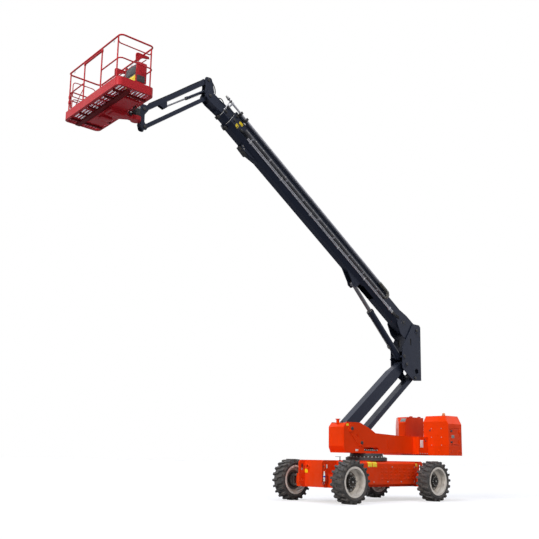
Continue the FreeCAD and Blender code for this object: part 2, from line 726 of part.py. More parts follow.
def cabinet_door():
    """Side door of the left cabinet with a hinge barrel at its rear edge."""
    g = RUN_GAP
    leaf = box(DOOR_REAR + g, DOOR_FRONT - g, TAIL_HALF - DOOR_T, TAIL_HALF, DOOR_LOW + g, DOOR_HIGH - g)
    return fuse([leaf] + door_hinges()[0])


def engine_hood():
    """Right hood: top, outer side and front in one, lifting about its inner edge."""
    keep = box(-4000, 0, -2000, -TAIL_INNER - SHEET - RUN_GAP, WEIGHT_TOP + RUN_GAP, 3000)
    outer = tail_shell(0.0).common(keep)
    corner = slab_z([(TAIL_FRONT + 20, -TAIL_INNER - 240), (TAIL_FRONT + 20, -2000),
                     (-2800.0, -2000), (-2800.0, -TAIL_HALF), (TAIL_FRONT, -TAIL_INNER - 260)],
                    0, 3000)
    outer = outer.cut(corner)
    inner = tail_shell(SHEET).common(box(-4000, 0, -2000, 0, 0, 3000))
    shifted = corner.copy()
    shifted.translate(V(-SHEET, SHEET, 0))
    shell = outer.cut(inner.cut(shifted))
    shell = shell.cut(box(-4000, 0, -TAIL_INNER - SHEET - 14, 0, TAIL_TOP - 30, 3000))
    return fuse([shell] + hood_hinges()[0])


def hood_wall():
    """Inner wall of the engine bay, beside the upright's channel."""
    wall = tail_shell(0.0).common(box(-4000, 0, -TAIL_INNER - SHEET, -TAIL_INNER, 0, 3000))
    wall.translate(V(0, 0, SEAT_GAP))
    return fuse([wall] + hood_hinges()[1])


def engine():
    """Engine as one block on the weight."""
    return box(ENGINE_REAR, ENGINE_REAR + 410.0, -800.0, -430.0, WEIGHT_TOP + SEAT_GAP, ENGINE_TOP)


def beacon():
    """Flashing beacon on the left cabinet's roof."""
    x, y = -2540.0, 800.0
    foot = rod_z(x, y, BEACON_R + 12, TAIL_TOP + SEAT_GAP * 2, TAIL_TOP + 18)
    lens = rod_z(x, y, BEACON_R, TAIL_TOP + 18, TAIL_TOP + BEACON_H - 22)
    dome = Part.makeCone(BEACON_R, BEACON_R - 18, 22, V(x, y, TAIL_TOP + BEACON_H - 22), V(0, 0, 1))
    return fuse([foot, lens, dome])


# ---------------------------------------------------------------- riser and upright
def riser_beam():
    """Box beam between its two pivots, tapered to a boss at the top."""
    length, rise = span(RISER_BASE, RISER_TOP)
    h = RISER_DEPTH / 2
    outline = [(-150, -90), (-60, -h), (length - 520, -h), (length - 60, -95), (length + 95, -95),
               (length + 95, 60), (length + 10, 92), (length - 560, h), (-60, h), (-150, 90)]
    body = slab_y(outline, -RISER_HALF, RISER_HALF, [60, 60, 30, 30, 88, 60, 30, 60, 60, 60])
    core = slab_y([(180, -h + RISER_WALL), (length - 560, -h + RISER_WALL),
                   (length - 560, h - RISER_WALL), (180, h - RISER_WALL)],
                  -RISER_HALF + RISER_WALL, RISER_HALF - RISER_WALL)
    wide = TT_HALF - TT_PLATE - RUN_GAP
    top_wide = UP_HALF - UP_PLATE - RUN_GAP
    boss_low = rod_y(0, 0, 80, -wide, wide)
    boss_top = rod_y(length, 0, 80, -top_wide, top_wide)
    body = fuse([body.cut(core), boss_low, boss_top])
    for u in (0, length):
        body = body.cut(rod_y(u, 0, PIN_R + PIN_GAP, -400, 400))
    return swing(mirror_w(body), RISER_BASE, rise)


def mirror_w(shape):
    """Flip a beam about its own centre line, for a beam that is laid backwards."""
    return shape.mirror(V(0, 0, 0), V(0, 0, 1))


def riser_link():
    """Lower link of the riser, parallel to the beam."""
    length, rise = span(RISER_LOW2, RISER_TOP2)
    h = LINK_DEPTH / 2
    outline = [(-70, -h + 5), (length + 70, -h + 5), (length + 70, h - 5), (-70, h - 5)]
    body = slab_y(outline, -LINK_HALF, LINK_HALF, 60.0)
    core = slab_y([(150, -h + 16), (length - 150, -h + 16), (length - 150, h - 16), (150, h - 16)],
                  -LINK_HALF + 10, LINK_HALF - 10)
    wide = TT_HALF - TT_PLATE - RUN_GAP
    top_wide = UP_HALF - UP_PLATE - RUN_GAP
    body = fuse([body.cut(core), rod_y(0, 0, 65, -wide, wide), rod_y(length, 0, 65, -top_wide, top_wide)])
    body = body.cut(rod_y(0, 0, PIN_R + PIN_GAP, -400, 400))
    # the open end of the linkage: its bore keeps clear of the pin
    body = body.cut(rod_y(length, 0, PIN_R + RUN_GAP, -400, 400))
    return swing(body, RISER_LOW2, rise)


def upright():
    """Two plates with webs that carry the riser's top, the boom's foot and the lift cylinder."""
    a, b, c, p = RISER_TOP, RISER_TOP2, CYL_BASE, BOOM_PIVOT
    back = b[0] - 285
    outline = [(back, b[1] - 65), (b[0] + 45, b[1] - 90), (b[0] + 250, b[1] + 20), (a[0] + 170, a[1] - 130),
               (a[0] + 175, a[1] + 470), (p[0] + 165, p[1] + 180), (back + 60, p[1] + 175),
               (back, p[1] + 115)]
    plate = slab_y(outline, UP_HALF - UP_PLATE, UP_HALF, [0, 25, 30, 40, 40, 30, 20, 20])
    plate = plate.cut(rod_y(back + 205, b[1] + 195, 80, 0, 500))
    slot = slab_y([(b[0] + 145, b[1] + 935), (b[0] + 205, b[1] + 935),
                   (b[0] + 205, b[1] + 1135), (b[0] + 145, b[1] + 1135)], 0, 500, 29.0)
    plate = plate.cut(slot)
    pieces = both(plate)
    inner = UP_HALF - UP_PLATE
    pieces.append(box(back, back + 20, -inner, inner, b[1] + 60, p[1] - 620))
    pieces.append(box(back, a[0] - 130, -inner, inner, p[1] - 640, p[1] - 620))
    body = fuse(pieces)
    for pivot in (a, b, c, p):
        body = fuse([body, rod_y(pivot[0], pivot[1], PIN_R, -UP_HALF - 8, UP_HALF + 8)])
    return body


# ---------------------------------------------------------------- telescopic boom
def section(half, top, depth, cut, wall=0.0):
    """Outline of a boom section in YZ: a box with its two lower corners cut off."""
    h, t, b = half - wall, top - wall, top - depth + wall
    c = cut - wall * 0.6
    return [(-h, t), (-h, b + c), (-h + c, b), (h - c, b), (h, b + c), (h, t)]


def hollow_section(half, top, depth, cut, wall, u0, u1):
    """A length of boom section as a tube."""
    outer = slab_x(section(half, top, depth, cut), u0, u1, [14, 20, 20, 20, 20, 14])
    inner = slab_x(section(half, top, depth, cut, wall), u0 - 1, u1 + 1)
    return outer.cut(inner)


def pads(half, top, depth, wall, gap_half, gap_top, gap_depth, u0, u1):
    """Wear pads inside a section's end, just clear of the section that slides in it."""
    inner_h, inner_t, inner_b = half - wall, top - wall, top - depth + wall
    s = SEAT_GAP
    return [box(u0, u1, -80, 80, gap_top + s, inner_t + 2),
            box(u0, u1, -60, 60, inner_b - 2, gap_top - gap_depth - s)] + both(
                box(u0, u1, gap_half + s, inner_h + 2, gap_top - 150, gap_top - 60))


CHAIN_LOW = TRAY_LOW + CHAIN_LIFT + CHAIN_H / 2
CHAIN_R = (PUSH_W - 12 - CHAIN_LOW) / 2
MID_TOP = BOOM_TOP - (BASE_DEPTH - MID_DEPTH) / 2
FLY_TOP = MID_TOP - (MID_DEPTH - FLY_DEPTH) / 2


def boom_base():
    """Base section with its foot, end collar, wear pads and the lift cylinder's lug."""
    tube = hollow_section(BASE_HALF, BOOM_TOP, BASE_DEPTH, BASE_CUT, BASE_WALL, BASE_START, BASE_END)
    collar = slab_x(section(BASE_HALF + 14, BOOM_TOP + 14, BASE_DEPTH + 28, BASE_CUT),
                    BASE_END - 60, BASE_END, 16.0)
    collar = collar.cut(slab_x(section(BASE_HALF, BOOM_TOP, BASE_DEPTH, BASE_CUT),
                               BASE_END - 70, BASE_END + 10))
    low = BOOM_TOP - BASE_DEPTH
    foot = slab_y([(-110, -110), (120, low - 60), (260, low - 140), (470, low - 140), (760, low + 30),
                   (900, BOOM_TOP - 10), (560, BOOM_TOP + 45), (-60, BOOM_TOP + 60), (-110, 10)],
                  BASE_HALF - 16, BASE_HALF + 2, [70, 60, 90, 90, 40, 40, 40, 60, 60])
    feet = both(foot)
    closing = box(BASE_START, BASE_START + 20, -BASE_HALF + 8, BASE_HALF - 8, low + 30, BOOM_TOP - 10)
    pivot = rod_y(0, 0, 90, -BASE_HALF - 2, BASE_HALF + 2)
    e = LIFT_EYE
    lug_plate = slab_y([(e[0] - 160, low + 8), (e[0] - 80, e[1] - 90), (e[0] + 60, e[1] - 100),
                        (e[0] + 130, e[1] - 40), (e[0] + 520, low + 8)],
                       LUG_GAP, LUG_GAP + 26, [0, 60, 60, 40, 0])
    lugs = both(lug_plate)
    pads_mid = pads(BASE_HALF, BOOM_TOP, BASE_DEPTH, BASE_WALL, MID_HALF_W, MID_TOP, MID_DEPTH,
                    BASE_END - 160, BASE_END - 6)
    body = fuse([tube, collar, closing, pivot] + feet + lugs + pads_mid)
    body = body.cut(rod_y(0, 0, PIN_R + PIN_GAP, -400, 400))
    # the linkage is open at the rod's eye: no pin between the lugs, and room above for the eye
    room = LUG_GAP - 1
    body = body.cut(box(e[0] - EYE_ROOM, e[0] + 100, -room, room, low - 1, low + 2 * BASE_WALL))
    body = body.cut(box(HEAD_ROOM[0], HEAD_ROOM[1], -HEAD_ROOM_HALF, HEAD_ROOM_HALF,
                        low - 1, low + 3 * BASE_WALL))
    body = fuse([body] + both(rod_y(e[0], e[1], PIN_R - 8, LUG_GAP, 110)))
    return swing(body, BOOM_PIVOT, BOOM_ANGLE)


def boom_mid():
    """Middle section, with its end collar and wear pads, and the push tube of the chain."""
    tube = hollow_section(MID_HALF_W, MID_TOP, MID_DEPTH, MID_CUT, MID_WALL, MID_START, MID_END)
    collar = slab_x(section(MID_HALF_W + 14, MID_TOP + 14, MID_DEPTH + 28, MID_CUT),
                    MID_END - 50, MID_END, 16.0)
    collar = collar.cut(slab_x(section(MID_HALF_W, MID_TOP, MID_DEPTH, MID_CUT),
                               MID_END - 60, MID_END + 10))
    inner = pads(MID_HALF_W, MID_TOP, MID_DEPTH, MID_WALL, FLY_HALF_W, FLY_TOP, FLY_DEPTH,
                 MID_END - 150, MID_END - 6)
    rear = both(box(MID_START, MID_START + 120, MID_HALF_W - 2, BASE_HALF - BASE_WALL - SEAT_GAP,
                    MID_TOP - 200, MID_TOP - 90))
    body = fuse([tube, collar] + inner + rear)
    return swing(body, BOOM_PIVOT, BOOM_ANGLE)


def push_tube():
    """Silver tube along the boom that the chain hangs on, carried by the middle section's end."""
    y = BASE_HALF + TRAY_WIDE / 2 + 6
    tube = rod_x(y, PUSH_W, PUSH_R, CHAIN_START + CHAIN_R + CHAIN_UPPER + SEAT_GAP, PUSH_END)
    arm = slab_x([(MID_HALF_W + 14.2, MID_TOP - 80), (y + 20, PUSH_W - 34), (y + 34, PUSH_W),
                  (y + 20, PUSH_W + 34), (y - 34, PUSH_W + 34), (MID_HALF_W + 14.2, MID_TOP - 10)],
                 MID_END - 44, MID_END - 8, [0, 10, 10, 10, 10, 0])
    return swing(fuse([tube, arm]), BOOM_PIVOT, BOOM_ANGLE)


def boom_fly():
    """Fly section with a forked nose for the jib's hub pin."""
    tube = hollow_section(FLY_HALF_W, FLY_TOP, FLY_DEPTH, FLY_CUT, FLY_WALL, FLY_START, FLY_END)
    n = boom_local(*JIB_HUB)
    cheek = slab_y([(FLY_END - 260, FLY_TOP - 6), (FLY_END - 260, FLY_TOP - FLY_DEPTH + 60),
                    (n[0] - 100, n[1] - 125), (n[0] + 120, n[1] - 110), (n[0] + 120, n[1] + 90),
                    (n[0] - 110, n[1] + 150)],
                   FLY_HALF_W - 22, FLY_HALF_W, [10, 30, 90, 90, 90, 60])
    rear = both(box(FLY_START, FLY_START + 120, FLY_HALF_W - 2, MID_HALF_W - MID_WALL - SEAT_GAP,
                    FLY_TOP - 180, FLY_TOP - 90))
    cap = box(FLY_END - 20, FLY_END, -FLY_HALF_W + 10, FLY_HALF_W - 10,
              FLY_TOP - FLY_DEPTH + 40, FLY_TOP - 4)
    pin = rod_y(n[0], n[1], JIB_PIN_R + 10, -FLY_HALF_W - 10, FLY_HALF_W + 10)
    body = fuse([tube, cap, pin] + both(cheek) + rear)
    return swing(body, BOOM_PIVOT, BOOM_ANGLE)


def chain_tray():
    """Shelf and lip for the energy chain on the base section, with two tubes and guides below."""
    y0 = BASE_HALF
    y1 = BASE_HALF + TRAY_WIDE
    shelf = box(TRAY_START, TRAY_END, y0, y1, TRAY_LOW - 8, TRAY_LOW)
    lip = box(TRAY_START, TRAY_END, y1 - 8, y1, TRAY_LOW - 8, TRAY_LOW + 34)
    guides = []
    y = BASE_HALF + TRAY_WIDE / 2 + 6
    for u in (BASE_END - 340, BASE_END - 130):
        ring = box(u, u + 60, y0, y + 44, PUSH_W - 44, PUSH_W + 44)
        guides.append(ring.cut(rod_x(y, PUSH_W, PUSH_R + RUN_GAP, u - 1, u + 61)))
    return swing(fuse([shelf, lip]), BOOM_PIVOT, BOOM_ANGLE), swing(
        Part.makeCompound(guides), BOOM_PIVOT, BOOM_ANGLE)


def side_tubes():
    """Two hydraulic tubes low on the base section's side, held by clamps."""
    pieces = []
    for w in (-232.0, -276.0):
        pieces.append(rod_x(BASE_HALF + 26, w, LINE_R, LINE_START, LINE_END))
    count = 6
    for i in range(count):
        u = LINE_START + 120 + i * (LINE_END - LINE_START - 240) / (count - 1)
        pieces.append(box(u - 20, u + 20, BASE_HALF, BASE_HALF + 48, -300, -208))
    return swing(fuse(pieces), BOOM_PIVOT, BOOM_ANGLE)


def chain_link(y):
    """One link of the energy chain about the middle of its length and height."""
    half = (CHAIN_PITCH - CHAIN_GAP) / 2
    return box(-half, half, y - CHAIN_W / 2, y + CHAIN_W / 2, -CHAIN_H / 2, CHAIN_H / 2)


def energy_chain():
    """Chain of the boom's hoses: a lower run on the shelf, a bend and an upper run to the tube."""
    y = BASE_HALF + TRAY_WIDE / 2 + 2
    core_y, core_z = CHAIN_W / 2 - 17, CHAIN_H / 2 - 10
    low, r = CHAIN_LOW, CHAIN_R
    mid = low + r
    bend_u = CHAIN_START + r
    cores = [box(bend_u, bend_u + CHAIN_LOWER, y - core_y, y + core_y, low - core_z, low + core_z),
             box(bend_u, bend_u + CHAIN_UPPER, y - core_y, y + core_y,
                 low + 2 * r - core_z, low + 2 * r + core_z)]
    bend = rod_y(bend_u, mid, r + core_z, y - core_y, y + core_y)
    bend = bend.cut(rod_y(bend_u, mid, r - core_z, y - core_y - 1, y + core_y + 1))
    cores.append(bend.cut(box(bend_u, bend_u + 2 * r, y - CHAIN_W, y + CHAIN_W, mid - 2 * r, mid + 2 * r)))
    links = []
    for run, w in ((CHAIN_LOWER, low), (CHAIN_UPPER, low + 2 * r)):
        for i in range(int(run / CHAIN_PITCH)):
            one = chain_link(y)
            one.translate(V(bend_u + (i + 0.5) * CHAIN_PITCH, 0, w))
            links.append(one)
    count = int(math.pi * r / CHAIN_PITCH)
    for i in range(count):
        turn = math.pi * (i + 0.5) / count
        one = chain_link(y)
        one.rotate(V(0, 0, 0), V(0, 1, 0), math.degrees(turn))
        one.translate(V(bend_u - r * math.sin(turn), 0, mid - r * math.cos(turn)))
        links.append(one)
    return swing(fuse(cores + links), BOOM_PIVOT, BOOM_ANGLE)


# ---------------------------------------------------------------- cylinders
def cylinder(base, eye, body_r, body_len, rod_r, eye_half, lug_r, pin_r, closing):
    """Barrel and rod between two pins, the rod's inner end set for what it still closes."""
    length, rise = span(base, eye)
    barrel = rod_x(0, 0, body_r, 0, body_len)
    head = rod_x(0, 0, body_r + HEAD_STEP, body_len - 70, body_len)
    end = rod_y(0, 0, lug_r, -eye_half, eye_half)
    barrel = fuse([barrel, head, end])
    barrel = barrel.cut(rod_x(0, 0, rod_r + 0.3, lug_r + 40, body_len + 1))
    barrel = barrel.cut(rod_y(0, 0, pin_r + PIN_GAP, -400, 400))
    rod = rod_x(0, 0, rod_r, lug_r + 60 + closing, length)
    tip = rod_y(length, 0, rod_r + pin_r / 2, -eye_half, eye_half)
    rod = fuse([rod, tip]).cut(rod_y(length, 0, pin_r - 8, -400, 400))
    return swing(barrel, base, rise), swing(rod, base, rise)


# ---------------------------------------------------------------- jib
def jib_base():
    """Levelled bracket on the boom's nose: two plates from the hub up to the beam's pin."""
    h, t = JIB_HUB, JIB_TOP
    y0 = JIB_HALF + RUN_GAP
    y1 = y0 + JIB_PLATE
    outline = [(h[0] - 110, h[1] - 100), (h[0] + 100, h[1] - 100), (h[0] + 130, h[1] + 60),
               (h[0] + 110, h[1] + 250), (t[0] + 110, t[1] + 60), (t[0] - 90, t[1] + 80),
               (h[0] - 150, h[1] + 160)]
    plate = slab_y(outline, y0, y1, [85, 85, 60, 60, 60, 60, 60])
    tie = box(h[0] - 95, h[0] - 70, -y0, y0, h[1] + 120, h[1] + 330)
    pins = [rod_y(t[0], t[1], JIB_PIN_R, -y1 - 6, y1 + 6),
            rod_y(h[0] + JIB_CYL_BASE[0], h[1] + JIB_CYL_BASE[1], JIB_PIN_R - 6, -y1 - 4, y1 + 4)]
    hub_r = JIB_PIN_R + 10 + PIN_GAP
    body = fuse(both(plate) + [tie])
    body = body.cut(rod_y(h[0], h[1], hub_r, -400, 400))
    return fuse([body] + pins)


def jib_bar(depth, r0, r1):
    """A jib bar from one pin to the other, in its own frame."""
    half = depth / 2
    body = slab_y([(-half, -half), (JIB_SPAN + half, -half), (JIB_SPAN + half, half), (-half, half)],
                  -JIB_HALF, JIB_HALF, half - 1)
    core = slab_y([(160, -half + 8), (JIB_SPAN - 160, -half + 8), (JIB_SPAN - 160, half - 8),
                   (160, half - 8)], -JIB_HALF + 8, JIB_HALF - 8)
    body = body.cut(core)
    body = body.cut(rod_y(0, 0, r0, -400, 400))
    return body.cut(rod_y(JIB_SPAN, 0, r1, -400, 400))


def jib_beam():
    """Upper bar of the jib with the lug of its cylinder."""
    bar = jib_bar(JIB_BEAM_DEPTH, JIB_PIN_R + PIN_GAP, JIB_PIN_R + PIN_GAP)
    u, w = JIB_LUG_U, JIB_LUG_W
    plate = slab_y([(u - 130, -JIB_BEAM_DEPTH / 2 + 5), (u - 50, w - JIB_LUG_R), (u + 50, w - JIB_LUG_R),
                    (u + 130, -JIB_BEAM_DEPTH / 2 + 5)], 31, 47, [0, JIB_LUG_R, JIB_LUG_R, 0])
    # the jib cylinder's linkage is open here, as the lift cylinder's is at its lug
    room = box(u - 150, u + 60, -30, 30, -JIB_BEAM_DEPTH / 2 - 1, -JIB_BEAM_DEPTH / 2 + 12)
    body = fuse([bar.cut(room)] + both(plate) + both(rod_y(u, w, 14, 31, 55)))
    return swing(body, JIB_TOP, JIB_ANGLE)


def jib_link():
    """Lower bar of the jib, from the boom's nose to the head."""
    hub_r = JIB_PIN_R + 10 + PIN_GAP
    bar = jib_bar(JIB_LINK_DEPTH, hub_r, JIB_PIN_R + RUN_GAP)
    return swing(bar, JIB_HUB, JIB_ANGLE)


def jib_head():
    """Bowed bracket at the jib's end with the rotator that turns the platform."""
    k1, k2 = JIB_END_TOP, JIB_END_LOW
    y0 = JIB_HALF + RUN_GAP
    y1 = y0 + JIB_PLATE
    outline = [(k2[0] - 60, k2[1] - 70), (k2[0] + 70, k2[1] - 70), (k1[0] + 120, k1[1] - 210),
               (k1[0] + 120, k1[1] + 110), (k1[0] - 60, k1[1] + 110), (k1[0] - 120, k1[1] + 10),
               (k1[0] - 20, k1[1] - 130), (k1[0] - 20, k2[1] + 110), (k2[0] - 70, k2[1] + 30)]
    plate = slab_y(outline, y0, y1, [50, 50, 40, 60, 60, 60, 60, 60, 30])
    pins = [rod_y(k[0], k[1], JIB_PIN_R, -y1 - 6, y1 + 6) for k in (k1, k2)]
    web = box(k1[0] + 75, k1[0] + 120, -y0, y0, k1[1] - 205, k1[1] + 80)
    body = fuse(both(plate) + [web] + pins)
    body = body.cut(rod_z(ROT_X, 0, ARM_R + RUN_GAP, PLAT_Z - 160, ROT_LOW + RUN_GAP))
    return body.cut(rod_z(ROT_X, 0, ROT_R + SEAT_GAP, ROT_LOW, ROT_HIGH + 100))


def rotator():
    """Rotary actuator with a vertical axis at the jib's head."""
    body = rod_z(ROT_X, 0, ROT_R, ROT_LOW, ROT_HIGH)
    back = box(JIB_END_TOP[0] + 120 + SEAT_GAP, ROT_X, -80, 80, ROT_LOW + 30, ROT_HIGH - 30)
    return fuse([body, back])


# ---------------------------------------------------------------- platform
def platform_plan(inset, z0, z1, corner):
    """The platform's plan, inset all round, raised between two heights."""
    x0, x1, y0, y1 = PLAT_X0 + inset, PLAT_X1 - inset, PLAT_Y0 + inset, PLAT_Y1 - inset
    return slab_z([(x0, y0), (x1, y0), (x1, y1), (x0, y1)], z0, z1, corner)


def platform_floor():
    """Floor frame, toe board, grating bars and the under-beam."""
    toe = platform_plan(0, PLAT_Z, PLAT_Z + TOE_H, PLAT_CORNER)
    toe = toe.cut(platform_plan(TOE_T, PLAT_Z - 1, PLAT_Z + TOE_H + 1, PLAT_CORNER - TOE_T))
    lip = platform_plan(TOE_T - 1, PLAT_Z, PLAT_Z + 8, PLAT_CORNER - TOE_T + 1)
    lip = lip.cut(platform_plan(52, PLAT_Z - 1, PLAT_Z + 9, 60))
    bars = []
    n = 8
    for i in range(1, n):
        y = PLAT_Y0 + i * (PLAT_Y1 - PLAT_Y0) / n
        bars.append(box(PLAT_X0 + 4, PLAT_X1 - 4, y - 15, y + 15, PLAT_Z, PLAT_Z + FLOOR_BAR))
    n = 12
    for i in range(1, n):
        x = PLAT_X0 + i * (PLAT_X1 - PLAT_X0) / n
        bars.append(box(x - 8, x + 8, PLAT_Y0 + 4, PLAT_Y1 - 4, PLAT_Z + 8, PLAT_Z + FLOOR_BAR + 6))
    return fuse([toe, lip] + bars)


def platform_support():
    """Arm that carries the platform: clamps over and under the rotator, and a box below the floor."""
    neck = PLAT_X0 - 20
    arm = slab_z([(ROT_X, -ARM_NECK), (neck, -ARM_NECK), (PLAT_X0 + 120, -150), (PLAT_X0 + 520, -150),
                  (PLAT_X0 + 520, 150), (PLAT_X0 + 120, 150), (neck, ARM_NECK), (ROT_X, ARM_NECK)],
                 PLAT_Z - 130, ROT_LOW - SEAT_GAP)
    low = arm.fuse(rod_z(ROT_X, 0, ARM_R, PLAT_Z - 130, ROT_LOW - SEAT_GAP))
    bearer = box(PLAT_X0 + 150, PLAT_X0 + 520, -900, 700, PLAT_Z - 60, PLAT_Z - SEAT_GAP)
    return fuse([low, bearer])


def rail_posts():
    """Places of the upright posts around the platform."""
    xi, xo = PLAT_X0 + 40, PLAT_X1 - 40
    ya, yb = PLAT_Y0 + 45, PLAT_Y1 - 45
    third = (yb - ya) / 3
    return [(xi, ya + 100), (xo, ya + 100), (xi, yb - 100), (xo, yb - 100),
            (xo, ya + third), (xo, ya + 2 * third), (xi, (ya + yb) / 2)]


def rail_plan():
    """The rails' centre lines in plan: rear, front, right and left, and a third of the length."""
    xi, xo = PLAT_X0 + 40, PLAT_X1 - 40
    ya, yb = PLAT_Y0 + 45, PLAT_Y1 - 45
    return xi, xo, ya, yb, (yb - ya) / 3


def platform_rails():
    """Guard rails: a ring on top, a middle rail open at both entries, and the posts."""
    xi, xo, ya, yb, third = rail_plan()
    corners = [(xi, ya), (xo, ya), (xo, yb), (xi, yb)]
    pieces = [loop_pipe([(x, y, RAIL_TOP) for x, y in corners], RAIL_R, RAIL_BEND)]
    foot = PLAT_Z + FLOOR_BAR + SEAT_GAP
    for x, y in rail_posts():
        pieces.append(rod_z(x, y, POST_R, foot, RAIL_TOP))
    pieces.append(pipe([(xi, ya + 100, RAIL_MID), (xi, yb, RAIL_MID), (xo, yb, RAIL_MID),
                        (xo, ya + 2 * third, RAIL_MID)], POST_R - 1, RAIL_BEND))
    pieces.append(straight(V(xo, ya + 100, RAIL_MID), V(xo, ya + third, RAIL_MID), POST_R - 1))
    pieces.append(pipe([(xi, yb - 100, RAIL_TOP), (xi + 10, yb - 100, RAIL_TOP - 150),
                        (xo - 10, yb - 100, RAIL_TOP - 150), (xo, yb - 100, RAIL_TOP)], 13.0, 60.0))
    return fuse(pieces)


def post_ring(x, y, z, height):
    """A ring that rides on a post with running clearance."""
    ring = rod_z(x, y, POST_R + 9, z, z + height)
    return ring.cut(rod_z(x, y, POST_R + PIN_GAP, z - 1, z + height + 1))


def entry_bar():
    """Sliding bar of the front entry, raised under the top rail, with a ring on each post."""
    xi, xo, ya, yb, third = rail_plan()
    z = RAIL_TOP - RAIL_R - 40
    gap = POST_R + 5
    bar = straight(V(xo, ya + third + gap, z), V(xo, ya + 2 * third - gap, z), RAIL_R + 3)
    rings = [post_ring(xo, y, z - 30, 60) for y in (ya + third, ya + 2 * third)]
    return fuse([bar] + rings)


def platform_gate():
    """End gate of bent tubes, hinged on the front post by two rings."""
    xi, xo, ya, yb, third = rail_plan()
    y = ya + 100
    x0, x1 = xi + POST_R + 21, xo - 2 * POST_R - 4
    low, high = PLAT_Z + 260, RAIL_MID + 60
    frame = loop_pipe([(x0, y, low), (x1, y, low), (x1, y, high), (x0, y, high)], 15.0, 70.0)
    middle = (low + high) / 2
    bar = straight(V(x0, y, middle), V(x1, y, middle), 13.0)
    rings = [post_ring(xo, y, z, 60) for z in (low + 120, high - 180)]
    return fuse([frame, bar] + rings)


def control_box():
    """Control console inside the rear rail."""
    x0 = PLAT_X0 + 40 + POST_R - 1 + SEAT_GAP
    profile = [(x0, RAIL_MID - 120), (x0 + 260, RAIL_MID - 120), (x0 + 260, RAIL_MID + 60),
               (x0 + 60, RAIL_MID + 190), (x0, RAIL_MID + 190)]
    return slab_y(profile, 250, 800, 12.0)


# ---------------------------------------------------------------- the whole machine
def build():
    """All pieces by node name, in the machine's own layout."""
    parts = {}
    parts.update(wheel_nodes())
    parts.update(chassis_nodes())
    parts["turntable_frame"] = turntable_frame()
    parts["front_tank"] = front_tank()
    parts["counterweight"] = counterweight()
    parts["left_cabinet"] = left_cabinet()
    parts["cabinet_door"] = cabinet_door()
    parts["engine_hood"] = engine_hood()
    parts["engine_bay_wall"] = hood_wall()
    parts["engine_block"] = engine()
    parts["beacon"] = beacon()
    parts["riser_beam"] = riser_beam()
    parts["riser_link"] = riser_link()
    parts["upright"] = upright()
    parts["boom_base"] = boom_base()
    parts["boom_mid"] = boom_mid()
    parts["boom_fly"] = boom_fly()
    parts["push_tube"] = push_tube()
    parts["chain_tray"], parts["tube_guides"] = chain_tray()
    parts["side_tubes"] = side_tubes()
    parts["energy_chain"] = energy_chain()
    eye = boom_point(*LIFT_EYE)
    parts["lift_cylinder"], parts["lift_rod"] = cylinder(
        CYL_BASE, eye, LIFT_R, LIFT_BODY, LIFT_ROD_R, 65, 88, PIN_R, LIFT_CLOSING)
    a = math.radians(JIB_ANGLE)
    lug_at = (JIB_TOP[0] + JIB_LUG_U * math.cos(a) - JIB_LUG_W * math.sin(a),
              JIB_TOP[1] + JIB_LUG_U * math.sin(a) + JIB_LUG_W * math.cos(a))
    base_at = (JIB_HUB[0] + JIB_CYL_BASE[0], JIB_HUB[1] + JIB_CYL_BASE[1])
    parts["jib_cylinder"], parts["jib_rod"] = cylinder(
        base_at, lug_at, JIB_CYL_R, JIB_CYL_BODY, JIB_ROD_R, 25, 36, JIB_PIN_R - 6, JIB_CLOSING)
    parts["jib_base"] = jib_base()
    parts["jib_beam"] = jib_beam()
    parts["jib_link"] = jib_link()
    parts["jib_head"] = jib_head()
    parts["rotator"] = rotator()
    parts["platform_support"] = platform_support()
    parts["platform_floor"] = platform_floor()
    parts["platform_rails"] = platform_rails()
    parts["entry_bar"] = entry_bar()
    parts["platform_gate"] = platform_gate()
    parts["control_box"] = control_box()
    return parts


def frame_shift(parts):
    """Shift that puts the bottom centre of the whole machine at the origin."""
    whole = FreeCAD.BoundBox()
    for shape in parts.values():
        whole.add(shape.optimalBoundingBox(False, False))
    return V(-(whole.XMin + whole.XMax) / 2, -(whole.YMin + whole.YMax) / 2, -whole.ZMin)


def main():
    """Build, shift to the frame and write one STEP per node."""
    os.makedirs("parts", exist_ok=True)
    parts = build()
    shift = frame_shift(parts)
    for name, shape in parts.items():
        moved = shape.copy()
        moved.translate(shift)
        moved.exportStep("parts/" + name + ".step")


if __name__ == "__main__":
    main()
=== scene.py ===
import math

import bmesh
import bpy
import numpy as np
from mathutils import Matrix, Vector


